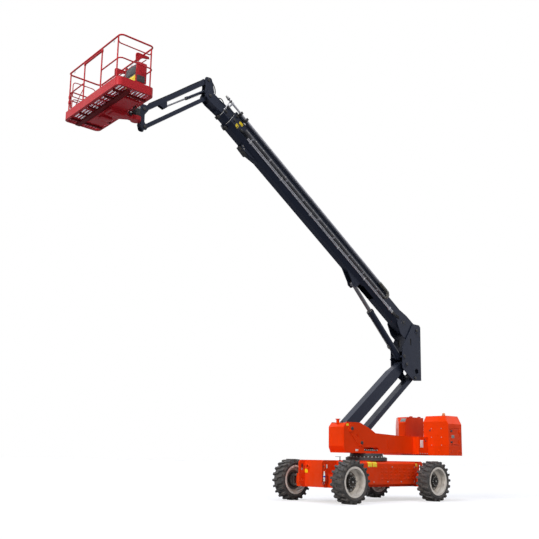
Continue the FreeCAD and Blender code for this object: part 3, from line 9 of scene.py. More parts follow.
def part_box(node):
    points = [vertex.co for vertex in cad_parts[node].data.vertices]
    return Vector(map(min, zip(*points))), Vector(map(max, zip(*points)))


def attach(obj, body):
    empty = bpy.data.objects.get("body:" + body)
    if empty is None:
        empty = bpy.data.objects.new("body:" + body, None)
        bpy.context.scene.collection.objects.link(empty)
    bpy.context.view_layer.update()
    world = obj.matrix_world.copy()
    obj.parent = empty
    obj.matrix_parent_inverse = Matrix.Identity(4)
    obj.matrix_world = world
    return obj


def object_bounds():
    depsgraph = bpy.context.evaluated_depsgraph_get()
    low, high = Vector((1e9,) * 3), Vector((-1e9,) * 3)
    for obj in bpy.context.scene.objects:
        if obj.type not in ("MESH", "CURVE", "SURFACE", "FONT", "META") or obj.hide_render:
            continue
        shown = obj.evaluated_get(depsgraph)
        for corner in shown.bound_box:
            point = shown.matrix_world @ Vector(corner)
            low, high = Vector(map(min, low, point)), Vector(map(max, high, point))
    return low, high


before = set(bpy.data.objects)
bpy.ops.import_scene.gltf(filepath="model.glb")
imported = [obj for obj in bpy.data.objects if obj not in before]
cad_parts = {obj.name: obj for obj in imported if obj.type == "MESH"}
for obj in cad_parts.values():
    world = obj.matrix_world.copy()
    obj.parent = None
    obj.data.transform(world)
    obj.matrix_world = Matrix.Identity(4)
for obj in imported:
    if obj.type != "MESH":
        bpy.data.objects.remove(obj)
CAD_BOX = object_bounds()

bl_info = {
    "name": "Boom lift looks",
    "version": (1, 0, 0),
    "blender": (4, 5, 0),
    "location": "3D View > Sidebar > Boom lift",
    "description": "Adds fittings and finishes to the packed solids of an articulating boom lift",
    "category": "Object",
}

IMAGE_SIDE = 539.0
CORNERS = ("front_left", "front_right", "rear_left", "rear_right")
AXLE_X = 1.650
RADIANS = math.pi / 180.0


# ---------------------------------------------------------------- places on the machine
def box_middle(node):
    """Middle of a node's box."""
    low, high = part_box(node)
    return (np.array(low) + np.array(high)) / 2.0


WHEEL_MIDDLES = np.array([box_middle("rim_" + corner) for corner in CORNERS])
WHEEL_HEIGHT = 0.540
ORIGIN = WHEEL_MIDDLES.mean(axis=0) - np.array([0.0, 0.0, WHEEL_HEIGHT])
LEVEL = np.eye(3)
UP = (0.0, 0.0, 1.0)


def arm_axes(degrees):
    """Axes of an arm raised by an angle: along it, to its left, and square to it."""
    a = degrees * RADIANS
    return np.array([[math.cos(a), 0, math.sin(a)], [0, 1, 0], [-math.sin(a), 0, math.cos(a)]])


def facing(direction, up=UP):
    """Axes whose third one points in a direction: for bolts, plates and lids on a surface."""
    z = np.array(direction, float) / np.linalg.norm(direction)
    x = np.cross(np.array(up, float), z)
    if np.linalg.norm(x) < 1e-6:
        x = np.array([1.0, 0.0, 0.0])
    x = x / np.linalg.norm(x)
    return np.array([x, np.cross(z, x), z])


BOOM_ANGLE = 33.8
BOOM_AXES = arm_axes(BOOM_ANGLE)
BOOM_FOOT = np.array([-2.100, 0, 4.860])
JIB_AXES = arm_axes(-37.1)
JIB_HUB = np.array([5.570, 0, 9.740])
JIB_TOP = np.array([5.600, 0, 10.160])
JIB_SPAN = 2.206
LIFT_AXES = arm_axes(44.57)
LIFT_BASE = np.array([-1.510, 0, 4.040])
LEFT, RIGHT = facing((0, 1, 0)), facing((0, -1, 0))
AHEAD, ASTERN = facing((1, 0, 0)), facing((-1, 0, 0))
BELOW = facing((0, 0, -1), (1, 0, 0))


def on_boom(u, v, w):
    """A point of the boom: along it from its foot pin, to its left, and square to it."""
    return BOOM_FOOT + np.array([u, v, w]) @ BOOM_AXES


def on_jib(u, v, w):
    """A point of the jib's upper bar in the same way, from its inner pin."""
    return JIB_TOP + np.array([u, v, w]) @ JIB_AXES


# ---------------------------------------------------------------- shapes as grids of rings
def turned(profile, sides=24):
    """A profile of (radius, height) pairs carried round the local Z axis:
    x = r cos t, y = r sin t, z = h, with t once round."""
    r, h = np.asarray(profile, float).T
    t = np.linspace(0, 2 * np.pi, sides, endpoint=False)
    return np.stack([r[:, None] * np.cos(t), r[:, None] * np.sin(t),
                     np.repeat(h[:, None], sides, axis=1)], axis=-1)


def rounded_outline(half_x, half_y, corner, steps=5):
    """A rectangle whose corners are quarter circles: each corner's middle plus
    corner times (cos t, sin t), t going through one quarter turn per corner."""
    t = (np.arange(4)[:, None] * 90 + np.linspace(0, 90, steps)[None, :]) * RADIANS
    sx = np.array([1, -1, -1, 1])[:, None] * (half_x - corner)
    sy = np.array([1, 1, -1, -1])[:, None] * (half_y - corner)
    return np.stack([sx + corner * np.cos(t), sy + corner * np.sin(t)], axis=-1).reshape(-1, 2)


def stacked(outline, thick, edge, steps=4):
    """An outline raised through a thickness, its edges rounded: the rings follow
    inset = e (1 - sin s) and height = e (1 - cos s), s from 0 to a quarter turn, and close on
    the outline's middle at both faces."""
    outline = np.asarray(outline, float)
    middle = outline.mean(axis=0)
    reach = np.linalg.norm(outline - middle, axis=1, keepdims=True)
    s = np.linspace(0, np.pi / 2, steps)
    inset = np.concatenate([edge * (1 - np.sin(s)), edge * (1 - np.sin(s[::-1]))])
    height = np.concatenate([edge * (1 - np.cos(s)), thick - edge * (1 - np.cos(s[::-1]))])
    scale = 1.0 - inset[:, None, None] / reach[None]
    rings = middle + (outline - middle)[None] * scale
    rings = np.concatenate([np.broadcast_to(middle, rings[:1].shape), rings,
                            np.broadcast_to(middle, rings[:1].shape)])
    levels = np.concatenate([[0.0], height, [thick]])
    z = np.repeat(levels[:, None], len(outline), axis=1)
    return np.concatenate([rings, z[..., None]], axis=-1)


def block(size, corner=0.01, edge=0.003):
    """A rounded block standing on the local XY plane, centred over it."""
    return stacked(rounded_outline(size[0] / 2, size[1] / 2, corner), size[2], edge)


def tube(path, radius, sides=10):
    """A circle carried along a path. Its plane is square to the path's direction; one of its
    axes is the direction that the path's tangents use least, so that it never twists. The
    radius may differ from point to point, and both ends close on the path."""
    path = np.asarray(path, float)
    tangent = np.gradient(path, axis=0)
    tangent /= np.linalg.norm(tangent, axis=1, keepdims=True)
    least = np.linalg.svd(tangent)[2][-1]
    first = least - (tangent @ least)[:, None] * tangent
    first /= np.linalg.norm(first, axis=1, keepdims=True)
    second = np.cross(tangent, first)
    t = np.linspace(0, 2 * np.pi, sides, endpoint=False)[None, :, None]
    r = np.broadcast_to(np.asarray(radius, float), len(path))[:, None, None]
    rings = path[:, None] + r * (np.cos(t) * first[:, None] + np.sin(t) * second[:, None])
    caps = [np.broadcast_to(path[i], rings[:1].shape) for i in (0, -1)]
    return np.concatenate([caps[0], rings, caps[1]])


def bent(points, cut, steps=6):
    """A line of straight runs whose corners are arcs of a parabola: at a corner p the curve is
    (1-t)^2 a + 2t(1-t) p + t^2 b, where a and b lie a cut's length away on the two runs."""
    p = np.asarray(points, float)
    before = p[:-2] - p[1:-1]
    after = p[2:] - p[1:-1]
    a = p[1:-1] + cut * before / np.linalg.norm(before, axis=1, keepdims=True)
    b = p[1:-1] + cut * after / np.linalg.norm(after, axis=1, keepdims=True)
    t = np.linspace(0, 1, steps)[None, :, None]
    arcs = (1 - t) ** 2 * a[:, None] + 2 * t * (1 - t) * p[1:-1, None] + t ** 2 * b[:, None]
    return np.concatenate([p[:1], arcs.reshape(-1, 3), p[-1:]])


def eased(points, steps=8):
    """A smooth line through a few points: between p1 and p2 it is the cubic whose slopes are
    (p2 - p0)/2 and (p3 - p1)/2."""
    p = np.asarray(points, float)
    p = np.concatenate([2 * p[:1] - p[1:2], p, 2 * p[-1:] - p[-2:-1]])
    p0, p1, p2, p3 = (p[i:len(p) - 3 + i, None] for i in range(4))
    t = np.linspace(0, 1, steps, endpoint=False)[None, :, None]
    curve = 0.5 * (2 * p1 + (p2 - p0) * t + (2 * p0 - 5 * p1 + 4 * p2 - p3) * t ** 2
                   + (3 * p1 - p0 - 3 * p2 + p3) * t ** 3)
    return np.concatenate([curve.reshape(-1, 3), p[-2:-1]])


def placed(grid, origin, axes=LEVEL):
    """A grid moved from its own axes to a place on the machine."""
    return grid @ np.asarray(axes) + np.asarray(origin)


def at_each(grid, places, axes=LEVEL):
    """Copies of a grid at several places, as one array."""
    return (grid @ np.asarray(axes))[None] + np.asarray(places, float)[:, None, None]


def ring_of(centre, radius, count, axes, phase=0.0):
    """Places evenly round a circle square to the third of the axes."""
    t = phase + np.linspace(0, 2 * np.pi, count, endpoint=False)
    flat = np.stack([radius * np.cos(t), radius * np.sin(t), np.zeros(count)], axis=-1)
    return np.asarray(centre) + flat @ np.asarray(axes)


def row_of(first, last, count):
    """Places evenly along a line."""
    t = np.linspace(0, 1, count)[:, None]
    return np.asarray(first) * (1 - t) + np.asarray(last) * t


def hex_bolt(radius, height):
    """A washer with a six-sided head on it, chamfered at the top."""
    washer = turned([(0, 0), (1.45, 0), (1.5, 0.12), (1.45, 0.25), (0, 0.25)], 14)
    head = turned([(0, 0.2), (1.0, 0.2), (1.0, 0.85), (0.82, 1.0), (0, 1.0)], 6)
    scale = np.array([radius, radius, height])
    return [washer * scale, head * scale]


def round_plug(radius, height):
    """A low domed plug: radius and height follow a quarter of an ellipse."""
    s = np.linspace(0, np.pi / 2, 6)
    rim = [(0, 0), (radius, 0)]
    dome = [(radius * math.cos(a), height * (0.3 + 0.7 * math.sin(a))) for a in s]
    return turned(rim + dome, 18)


def lump(size, corner, edge, place, axes=LEVEL):
    """A rounded block set on a face."""
    return placed(block(size, corner, edge), place, axes)


def plug(radius, height, place, axes=LEVEL):
    """A domed plug set on a face."""
    return placed(round_plug(radius, height), place, axes)


def band(profile, sides=24):
    """A turned ring: its profile ends where it starts."""
    return turned(list(profile) + list(profile[:1]), sides)


def bolts_at(places, radius, height, axes):
    """Hexagon bolts at several places."""
    return [at_each(part, places, axes) for part in hex_bolt(radius, height)]


def card(place, axes, size):
    """A thin blank sticker lying on a face."""
    return lump((size[0], size[1], 0.002), 0.006, 0.0006, place, axes)


def hoop(radius, wire, sides=24, steps=8):
    """A round ring of round wire: radius R + r cos a, height r sin a, a once round."""
    a = np.linspace(0, 2 * np.pi, steps + 1)
    return turned(np.stack([radius + wire * np.cos(a), wire * np.sin(a)], axis=-1), sides)


def mirrored(patches):
    """The patches and their images across the machine's middle plane."""
    flip = np.array([1.0, -1.0, 1.0])
    return list(patches) + [np.asarray(patch) * flip for patch in patches]


def arc_strip(length, radius, start, stop, thick):
    """A thin strip bent round the local X axis: y = r cos t, z = r sin t between two angles,
    out at the radius plus its thickness and back at the radius."""
    t = np.linspace(start, stop, 9) * RADIANS
    out = np.stack([(radius + thick) * np.cos(t), (radius + thick) * np.sin(t)], axis=-1)
    back = np.stack([radius * np.cos(t[::-1]), radius * np.sin(t[::-1])], axis=-1)
    ring = np.concatenate([out, back])
    x = np.linspace(-length / 2, length / 2, 6)
    middle = ring.mean(axis=0)
    rings = [np.column_stack([np.full(len(ring), value), ring]) for value in x]
    caps = [np.column_stack([np.full(len(ring), value), np.broadcast_to(middle, ring.shape)])
            for value in (x[0], x[-1])]
    return np.stack([caps[0]] + rings + [caps[1]])


def slab(outline, thick, edge=0.002):
    """A plate of any outline, centred on its own thickness."""
    return stacked(outline, thick, edge) - np.array([0, 0, thick / 2])


# ---------------------------------------------------------------- pieces
def piece(name, patches, body, finish, sharp=35.0):
    """One object from grids of rings. Faces join each ring to the next and each ring's last
    point to its first; coincident points become one, which closes the poles."""
    points, faces, start = [], [], 0
    for patch in patches:
        grid = np.asarray(patch, float) + ORIGIN
        grid = grid[None] if grid.ndim == 3 else grid
        index = start + np.arange(grid[..., 0].size).reshape(grid.shape[:3])
        around = np.roll(index, -1, axis=2)
        quads = np.stack([index[:, :-1], around[:, :-1], around[:, 1:], index[:, 1:]], axis=-1)
        points.append(grid.reshape(-1, 3))
        faces.append(quads.reshape(-1, 4))
        start += grid[..., 0].size
    mesh = bpy.data.meshes.new(name)
    mesh.from_pydata(np.concatenate(points), [], np.concatenate(faces))
    weld(mesh, sharp)
    made = bpy.data.objects.new(name, mesh)
    bpy.context.scene.collection.objects.link(made)
    mesh.materials.append(FINISH[finish])
    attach(made, body)
    return made


def weld(mesh, sharp):
    """Merge coincident points, turn the faces outward and shade smooth up to an angle."""
    work = bmesh.new()
    work.from_mesh(mesh)
    bmesh.ops.remove_doubles(work, verts=work.verts, dist=1e-6)
    bmesh.ops.recalc_face_normals(work, faces=work.faces)
    work.to_mesh(mesh)
    work.free()
    mesh.shade_smooth()
    mesh.set_sharp_from_angle(angle=sharp * RADIANS)


# ---------------------------------------------------------------- finishes
WHITE = (1.0, 1.0, 1.0, 1.0)
SETTLED_DUST = (0.30, 0.245, 0.19, 1.0)


def fill(tree, socket, value):
    """Link a socket to an output, or give it a plain value."""
    if isinstance(value, bpy.types.NodeSocket):
        tree.links.new(value, socket)
    else:
        socket.default_value = value


def node(tree, kind, inputs=None, **settings):
    """One shader node, its settings, and its inputs as links or plain values."""
    made = tree.nodes.new(kind)
    for key, value in settings.items():
        setattr(made, key, value)
    for key, value in (inputs or {}).items():
        fill(tree, made.inputs[key], value)
    return made


def tint(colour, factor):
    """A colour made darker or lighter, with its alpha."""
    return [min(c * factor, 1.0) for c in colour[:3]] + [1.0]


def paler(colour, keep, lift):
    """A colour pulled towards a pale tone, for rubbed edges and painted edge highlights."""
    return [c * keep + lift for c in colour[:3]] + [1.0]


class Mix:
    """A material in the making. Its methods add nodes and give back their outputs."""

    def __init__(self, name):
        self.material = bpy.data.materials.new(name)
        self.material.use_nodes = True
        self.tree = self.material.node_tree
        self.shader = self.tree.nodes["Principled BSDF"]
        self.coords = self.node("TexCoord").outputs["Object"]

    def node(self, kind, inputs=None, **settings):
        """One node of this material."""
        return node(self.tree, "ShaderNode" + kind, inputs, **settings)

    def math(self, operation, *values):
        """A sum, product or other reckoning with one or two values."""
        return self.node("Math", dict(enumerate(values)), operation=operation).outputs[0]

    def vector(self, operation, *values):
        """The same with vectors."""
        return self.node("VectorMath", dict(enumerate(values)), operation=operation).outputs

    def times(self, a, b):
        """Product of two values."""
        return self.math("MULTIPLY", a, b)

    def height(self, vector):
        """The Z part of a vector."""
        return self.node("SeparateXYZ", {"Vector": vector}).outputs["Z"]

    def noise(self, scale, detail=3.0, rough=0.55, stretch=None):
        """Cloudy noise between 0 and 1, stretched along each axis for streaks and grain."""
        coords = self.coords
        if stretch:
            coords = self.node("Mapping", {"Vector": coords, "Scale": stretch}).outputs["Vector"]
        return self.node("TexNoise", {"Vector": coords, "Scale": scale, "Detail": detail,
                                      "Roughness": rough}).outputs["Fac"]

    def levels(self, value, low, high, to_low=0.0, to_high=1.0):
        """A value spread between two levels, and held at them."""
        return self.node("MapRange", {"Value": value, "From Min": low, "From Max": high,
                                      "To Min": to_low, "To Max": to_high}).outputs["Result"]

    def patches(self, scale, detail, rough, *spread, stretch=None):
        """Noise spread between two levels."""
        return self.levels(self.noise(scale, detail, rough, stretch), *spread)

    def over(self, amount, first, second):
        """One colour over another by an amount."""
        made = self.node("Mix", {0: amount, 6: first, 7: second}, data_type="RGBA")
        return made.outputs[2]

    def drifting(self, colour, dark, light, scale, detail=5.0):
        """A colour that drifts between a darker and a lighter tone."""
        cloud = self.patches(scale, detail, 0.55, 0.3, 0.7)
        return self.over(cloud, tint(colour, dark), tint(colour, light))

    def edge_mask(self, width):
        """Soft edge normal, and how close a point is to an edge."""
        soft = self.node("Bevel", {"Radius": width}, samples=4).outputs["Normal"]
        flat = self.node("NewGeometry").outputs["Normal"]
        along = self.vector("DOT_PRODUCT", soft, flat)["Value"]
        return soft, self.levels(along, 0.995, 0.86)

    def bump(self, height, strength, distance, normal=None):
        """Relief from a height."""
        inputs = {"Height": height, "Strength": strength, "Distance": distance}
        if normal is not None:
            inputs["Normal"] = normal
        fill(self.tree, self.shader.inputs["Normal"], self.node("Bump", inputs).outputs["Normal"])

    def done(self, base, scale, low, high, sockets=None):
        """The material, with its colour, uneven roughness between two levels, and constants."""
        rough = self.patches(scale, 5.0, 0.55, 0.3, 0.7, low, high)
        values = {"Base Color": base, "Roughness": rough, **(sockets or {})}
        for key, value in values.items():
            fill(self.tree, self.shader.inputs[key], value)
        return self.material


def paint(name, colour, gloss=0.3, coat=0.35, dust=0.3, wear_and_highlight=0.5, edge=0.006, shine=0.15,
          glint=WHITE):
    """Sprayed paint: slow drifts of tone, streaks down its sides, dust that settles on what looks
    up and thickens towards the ground, edges painted paler as rubbed wear and as a painted edge
    highlight, and a fine orange peel."""
    mix = Mix(name)
    base = mix.drifting(colour, 0.90, 1.05, 1.1, 4.0)
    streaks = mix.patches(2.0, 5.0, 0.6, 0.56, 0.78, 0.0, 0.22, stretch=(9.0, 9.0, 0.7))
    base = mix.over(streaks, base, tint(colour, 0.62))
    soft, close = mix.edge_mask(edge)
    patchy = mix.patches(14.0, 5.0, 0.7, 0.42, 0.66)
    # Edges painted paler in patches: rubbed wear and a painted edge highlight.
    base = mix.over(mix.times(mix.times(close, patchy), wear_and_highlight), base, paler(colour, 0.75, 0.10))
    chips = mix.patches(55.0, 6.0, 0.75, 0.735, 0.76, 0.0, 0.55)
    base = mix.over(chips, base, tint(colour, 0.35))
    normal = mix.node("NewGeometry").outputs["Normal"]
    top = mix.levels(mix.height(normal), 0.5, 1.0, 0.0, 0.55)
    low = mix.levels(mix.height(mix.coords), 1.25, 0.25, 0.12, 0.95)
    clouds = mix.patches(6.0, 6.0, 0.65, 0.36, 0.72)
    amount = mix.times(mix.times(mix.math("MAXIMUM", top, low), clouds), dust)
    base = mix.over(amount, base, SETTLED_DUST)
    mix.bump(mix.noise(160.0, 2.0), 0.05, 0.002, soft)
    return mix.done(base, 4.0, gloss - 0.05, gloss + 0.14,
                    {"Coat Weight": coat, "Coat Roughness": 0.18, "Specular IOR Level": shine,
                     "Specular Tint": glint})


def rim_paint(name, pale, dark):
    """Rim paint by the distance r from the wheel's axis: black round the hub, a dark dish, then the
    pale barrel and flange, with brown dust that gathers in patches."""
    mix = Mix(name)
    local = mix.vector("SUBTRACT", mix.coords, [float(v) for v in ORIGIN])["Vector"]
    parts = mix.node("SeparateXYZ", {"Vector": local}).outputs
    along = mix.math("SUBTRACT", mix.math("ABSOLUTE", parts["X"]), AXLE_X)
    high = mix.math("SUBTRACT", parts["Z"], WHEEL_HEIGHT)
    both = mix.node("CombineXYZ", {"X": along, "Y": high}).outputs["Vector"]
    radius = mix.vector("LENGTH", both)["Value"]
    base = mix.over(mix.levels(radius, 0.246, 0.266), tint(pale, 0.16), pale)
    base = mix.over(mix.levels(radius, 0.196, 0.184), base, tint(dark, 0.8))
    cloud = mix.patches(7.0, 6.0, 0.65, 0.42, 0.70, 0.0, 0.45)
    base = mix.over(cloud, base, (0.20, 0.165, 0.13, 1.0))
    soft, close = mix.edge_mask(0.005)
    # Edges painted lighter: a painted edge highlight.
    base = mix.over(mix.times(close, 0.3), base, tint(pale, 1.2))
    mix.bump(mix.noise(120.0, 3.0), 0.08, 0.002, soft)
    return mix.done(base, 9.0, 0.34, 0.60, {"Specular IOR Level": 0.3})


def rubber(name, colour, mud=0.5):
    """Tyre rubber: grey-brown dirt in soft patches, bar edges painted paler as scuffing and as a
    painted highlight, and a fine moulded grain.
    """
    mix = Mix(name)
    base = mix.drifting(colour, 0.75, 1.35, 5.0)
    dirt = mix.patches(9.0, 6.0, 0.7, 0.46, 0.68, 0.0, mud)
    base = mix.over(dirt, base, (0.15, 0.125, 0.10, 1.0))
    soft, close = mix.edge_mask(0.008)
    # Bar edges painted paler: scuffing and a painted highlight.
    base = mix.over(mix.times(close, 0.45), base, (0.16, 0.155, 0.15, 1.0))
    mix.bump(mix.noise(130.0, 6.0, 0.7), 0.35, 0.004, soft)
    return mix.done(base, 20.0, 0.55, 0.85, {"Specular IOR Level": 0.35})


def bare_metal(name, colour, rough=0.35, grain=(1.0, 1.0, 1.0), spangle=0.0, metallic=0.9):
    """Bare or plated metal: fine grain, cloudy roughness and, where zinc coated, its spangle."""
    mix = Mix(name)
    base = mix.drifting(colour, 0.82, 1.08, 7.0)
    if spangle:
        cells = mix.node("TexVoronoi", {"Vector": mix.coords, "Scale": 45.0}).outputs["Distance"]
        shade = mix.levels(cells, 0.0, 0.6)
        base = mix.over(mix.times(shade, spangle), base, tint(colour, 0.6))
    stain = mix.patches(13.0, 6.0, 0.7, 0.6, 0.8, 0.0, 0.3)
    base = mix.over(stain, base, (0.20, 0.15, 0.10, 1.0))
    soft, _ = mix.edge_mask(0.003)
    mix.bump(mix.noise(90.0, 3.0, stretch=grain), 0.08, 0.001, soft)
    return mix.done(base, 12.0, rough - 0.07, rough + 0.12, {"Metallic": metallic})


def plastic(name, colour, rough=0.5, coat=0.0, relief=0.12, edge=0.003):
    """Moulded plastic or cast skin with a fine grain, its edges a little paler as wear and as a
    painted edge highlight.
    """
    mix = Mix(name)
    base = mix.drifting(colour, 0.85, 1.12, 8.0)
    soft, close = mix.edge_mask(edge)
    # Edges painted paler: wear and a painted edge highlight.
    base = mix.over(mix.times(close, 0.35), base, paler(colour, 0.7, 0.12))
    haze = mix.patches(4.0, 6.0, 0.7, 0.5, 0.75, 0.0, 0.25)
    base = mix.over(haze, base, (0.28, 0.24, 0.20, 1.0))
    mix.bump(mix.noise(240.0, 4.0), relief, 0.0015, soft)
    return mix.done(base, 10.0, rough - 0.06, rough + 0.1,
                    {"Coat Weight": coat, "Specular IOR Level": 0.25})


def lens(name, colour):
    """Coloured lens plastic: clear enough to show its depth."""
    mix = Mix(name)
    bands = mix.patches(25.0, 2.0, 0.55, 0.4, 0.6, stretch=(1, 1, 8))
    base = mix.over(bands, tint(colour, 0.8), tint(colour, 1.15))
    mix.bump(bands, 0.2, 0.002)
    return mix.done(base, 30.0, 0.08, 0.2, {"Transmission Weight": 0.35, "Coat Weight": 0.6})


def film(name, colour):
    """Blank sticker film: faint fading, a few scuffs and a slight gloss."""
    mix = Mix(name)
    base = mix.drifting(colour, 0.88, 1.04, 12.0, 4.0)
    scuff = mix.patches(9.0, 5.0, 0.55, 0.62, 0.7, 0.0, 0.35, stretch=(3, 3, 30))
    base = mix.over(scuff, base, tint(colour, 0.6))
    mix.bump(mix.noise(70.0, 3.0), 0.05, 0.001)
    return mix.done(base, 18.0, 0.3, 0.5, {"Coat Weight": 0.15})


# ---------------------------------------------------------------- values a user may change
def colour_value(name, description, value):
    """A colour property with its default."""
    return bpy.props.FloatVectorProperty(name=name, description=description, default=value,
                                         subtype="COLOR", size=4, min=0.0, max=1.0)


def length_value(name, description, value):
    """A length property in metres with its default."""
    return bpy.props.FloatProperty(name=name, description=description, default=value,
                                   min=0.0005, unit="LENGTH", precision=4)


class BOOMLIFT_PG_colours(bpy.types.PropertyGroup):
    """Colours of the machine's paints and fittings"""
    body: colour_value("Body paint", "Chassis, turntable, tank and covers",
                       (0.76, 0.042, 0.001, 1.0))
    slate: colour_value("Boom paint", "Riser, upright, boom and jib", (0.010, 0.014, 0.024, 1.0))
    cage: colour_value("Platform paint", "Platform frame, rails and gate",
                       (0.52, 0.022, 0.030, 1.0))
    wheel: colour_value("Wheel paint", "Wheel rims", (0.74, 0.70, 0.64, 1.0))
    black: colour_value("Black parts", "Hubs, hoses and mouldings", (0.022, 0.023, 0.025, 1.0))
    tyre: colour_value("Tyre rubber", "Tyres", (0.045, 0.044, 0.045, 1.0))
    notice: colour_value("Yellow film", "Blank yellow stickers", (0.86, 0.66, 0.01, 1.0))
    card: colour_value("White film", "Blank white stickers", (0.78, 0.77, 0.74, 1.0))
    lamp: colour_value("Beacon lens", "Flashing beacon", (0.86, 0.27, 0.01, 1.0))


class BOOMLIFT_PG_sizes(bpy.types.PropertyGroup):
    """Sizes of the repeated fittings"""
    bolt: length_value("Bolt head", "Radius of a cover bolt's head", 0.012)
    wheel_nut: length_value("Wheel nut", "Radius of a wheel nut", 0.020)
    hose: length_value("Hose", "Radius of a hydraulic hose", 0.013)
    line: length_value("Hard line", "Radius of a steel hydraulic line", 0.008)
    mesh_pitch: length_value("Mesh pitch", "Spacing of the platform floor's mesh", 0.030)
    mesh_wire: length_value("Mesh strand", "Half thickness of a strand of the floor's mesh", 0.0045)


class BOOMLIFT_PG_stage(bpy.types.PropertyGroup):
    """Camera, lamps and floor"""
    lens: bpy.props.FloatProperty(name="Lens", description="Focal length on a 36 mm sensor",
                                  default=51.11, min=10.0, subtype="DISTANCE_CAMERA")
    key: bpy.props.FloatProperty(name="Key lamp", description="Strength of the lamp in front",
                                 default=2.30, min=0.0)
    ambient: bpy.props.FloatProperty(name="Ambient", description="Strength of the light all round",
                                     default=0.10, min=0.0)
    floor: colour_value("Floor", "Colour of the studio floor", (0.90, 0.90, 0.90, 1.0))


# ---------------------------------------------------------------- finishes of the solids
FINISH = {}


def mix_finishes(colours):
    """Every finish by name, from the user's colours."""
    c = {key: list(getattr(colours, key)) for key in
         ("body", "slate", "cage", "wheel", "black", "tyre", "notice", "card", "lamp")}
    FINISH.update({
        "body": paint("body_paint", c["body"], 0.36, 0.0, 0.16, 0.30, 0.006, 0.28,
                      (1.0, 0.22, 0.06, 1.0)),
        "sheet": paint("cover_paint", tint(c["body"], 1.06), 0.30, 0.02, 0.12, 0.25, 0.010, 0.32,
                       (1.0, 0.22, 0.06, 1.0)),
        "slate": paint("boom_paint", c["slate"], 0.30, 0.0, 0.08, 0.25, 0.006, 0.34,
                       (0.60, 0.66, 1.0, 1.0)),
        "cage": paint("platform_paint", c["cage"], 0.36, 0.0, 0.10, 0.35, 0.004, 0.30,
                      (1.0, 0.45, 0.50, 1.0)),
        # The platform paint darkened: painted shade for the parts under the floor.
        "under": paint("shaded_under_paint", tint(c["cage"], 0.28), 0.50, 0.0, 0.10, 0.40, 0.004, 0.1),
        "dark": paint("dark_steel", tint(c["black"], 1.8), 0.45, 0.10, 0.45, 0.55),
        "wheel": rim_paint("wheel_paint", c["wheel"], c["black"]),
        "hub": paint("hub_paint", tint(c["black"], 0.6), 0.45, 0.0, 0.25, 0.30),
        "tyre": rubber("tyre_rubber", c["tyre"]),
        "hose": plastic("hose_rubber", c["black"], 0.55, 0.0, 0.25),
        "moulding": plastic("black_moulding", tint(c["black"], 1.3), 0.48, 0.05),
        "console": plastic("console_moulding", (0.075, 0.08, 0.085, 1.0), 0.5, 0.05),
        "chain": plastic("chain_moulding", (0.13, 0.13, 0.12, 1.0), 0.60),
        "chrome": bare_metal("hard_chrome", (0.20, 0.20, 0.215, 1.0), 0.20, (1.0, 6.0, 1.0)),
        "zinc": bare_metal("zinc_plate", (0.50, 0.51, 0.56, 1.0), 0.42, (4.0, 1.0, 1.0), 0.25,
                           0.55),
        # A darkened copy of the zinc plate: painted shade inside the chain's tray.
        "shaded_tray": bare_metal("tray_zinc_shaded", (0.15, 0.155, 0.17, 1.0), 0.45, (4.0, 1.0, 1.0), 0.25,
                           0.45),
        "bolt": bare_metal("bolt_zinc", (0.40, 0.40, 0.39, 1.0), 0.40, (2.0, 2.0, 2.0), 0.0, 0.6),
        # Grey zinc with a lavender cast: the cast is a painted reflection of the pale sky.
        "mesh": bare_metal("floor_mesh", (0.62, 0.58, 0.70, 1.0), 0.45, (2.0, 2.0, 2.0), 0.0, 0.35),
        "iron": plastic("cast_iron", (0.085, 0.085, 0.088, 1.0), 0.62, 0.0, 0.5, 0.006),
        "notice": film("yellow_film", c["notice"]),
        "card": film("white_film", c["card"]),
        "grey_card": film("grey_film", (0.20, 0.24, 0.23, 1.0)),
        "lamp": lens("amber_lens", c["lamp"]),
        "red_cap": plastic("red_moulding", (0.62, 0.02, 0.015, 1.0), 0.35, 0.3),
        "blue_cap": plastic("blue_moulding", (0.02, 0.10, 0.50, 1.0), 0.4, 0.2),
    })


NODE_FINISH = {
    "body": ("front_axle", "rear_axle", "chassis_frame", "turntable_frame", "front_tank",
             "counterweight"),
    "sheet": ("left_cabinet", "cabinet_door", "engine_hood", "engine_bay_wall"),
    "slate": ("riser_beam", "riser_link", "upright", "boom_base", "boom_mid", "boom_fly",
              "lift_cylinder", "jib_cylinder", "jib_base", "jib_beam", "jib_link", "jib_head"),
    "cage": ("platform_support", "platform_floor", "platform_rails", "entry_bar", "platform_gate"),
    "dark": ("slew_ring", "rotator", "tube_guides") + tuple("knuckle_" + c for c in CORNERS),
    "wheel": tuple("rim_" + c for c in CORNERS),
    "hub": tuple("wheel_hub_" + c for c in CORNERS),
    "tyre": tuple("tyre_" + c for c in CORNERS),
    "chrome": ("lift_rod", "jib_rod"),
    "zinc": ("push_tube", "side_tubes"),
    "shaded_tray": ("chain_tray",),
    "chain": ("energy_chain",),
    "iron": ("engine_block",),
    "console": ("control_box",),
    "lamp": ("beacon",),
}


class BOOMLIFT_OT_finishes(bpy.types.Operator):
    """Mix the finishes and give each solid its own"""
    bl_idname = "boomlift.finishes"
    bl_label = "Finishes of the solids"

    def execute(self, context):
        mix_finishes(context.scene.boomlift_colours)
        dressed = set()
        for finish, nodes in NODE_FINISH.items():
            for name in nodes:
                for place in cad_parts[name].material_slots:
                    place.material = FINISH[finish]
                dressed.add(name)
        missing = set(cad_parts) - dressed
        if missing:
            raise RuntimeError("solids without a finish: " + ", ".join(sorted(missing)))
        return {"FINISHED"}


# ---------------------------------------------------------------- stage
CAMERA_PLACE = (15.727, 14.297, 1.086)
CAMERA_YAW = 0.861
CAMERA_PITCH = 0.180
CAMERA_ROLL = 0.017
CAMERA_CENTRE = (269.4, 318.8)


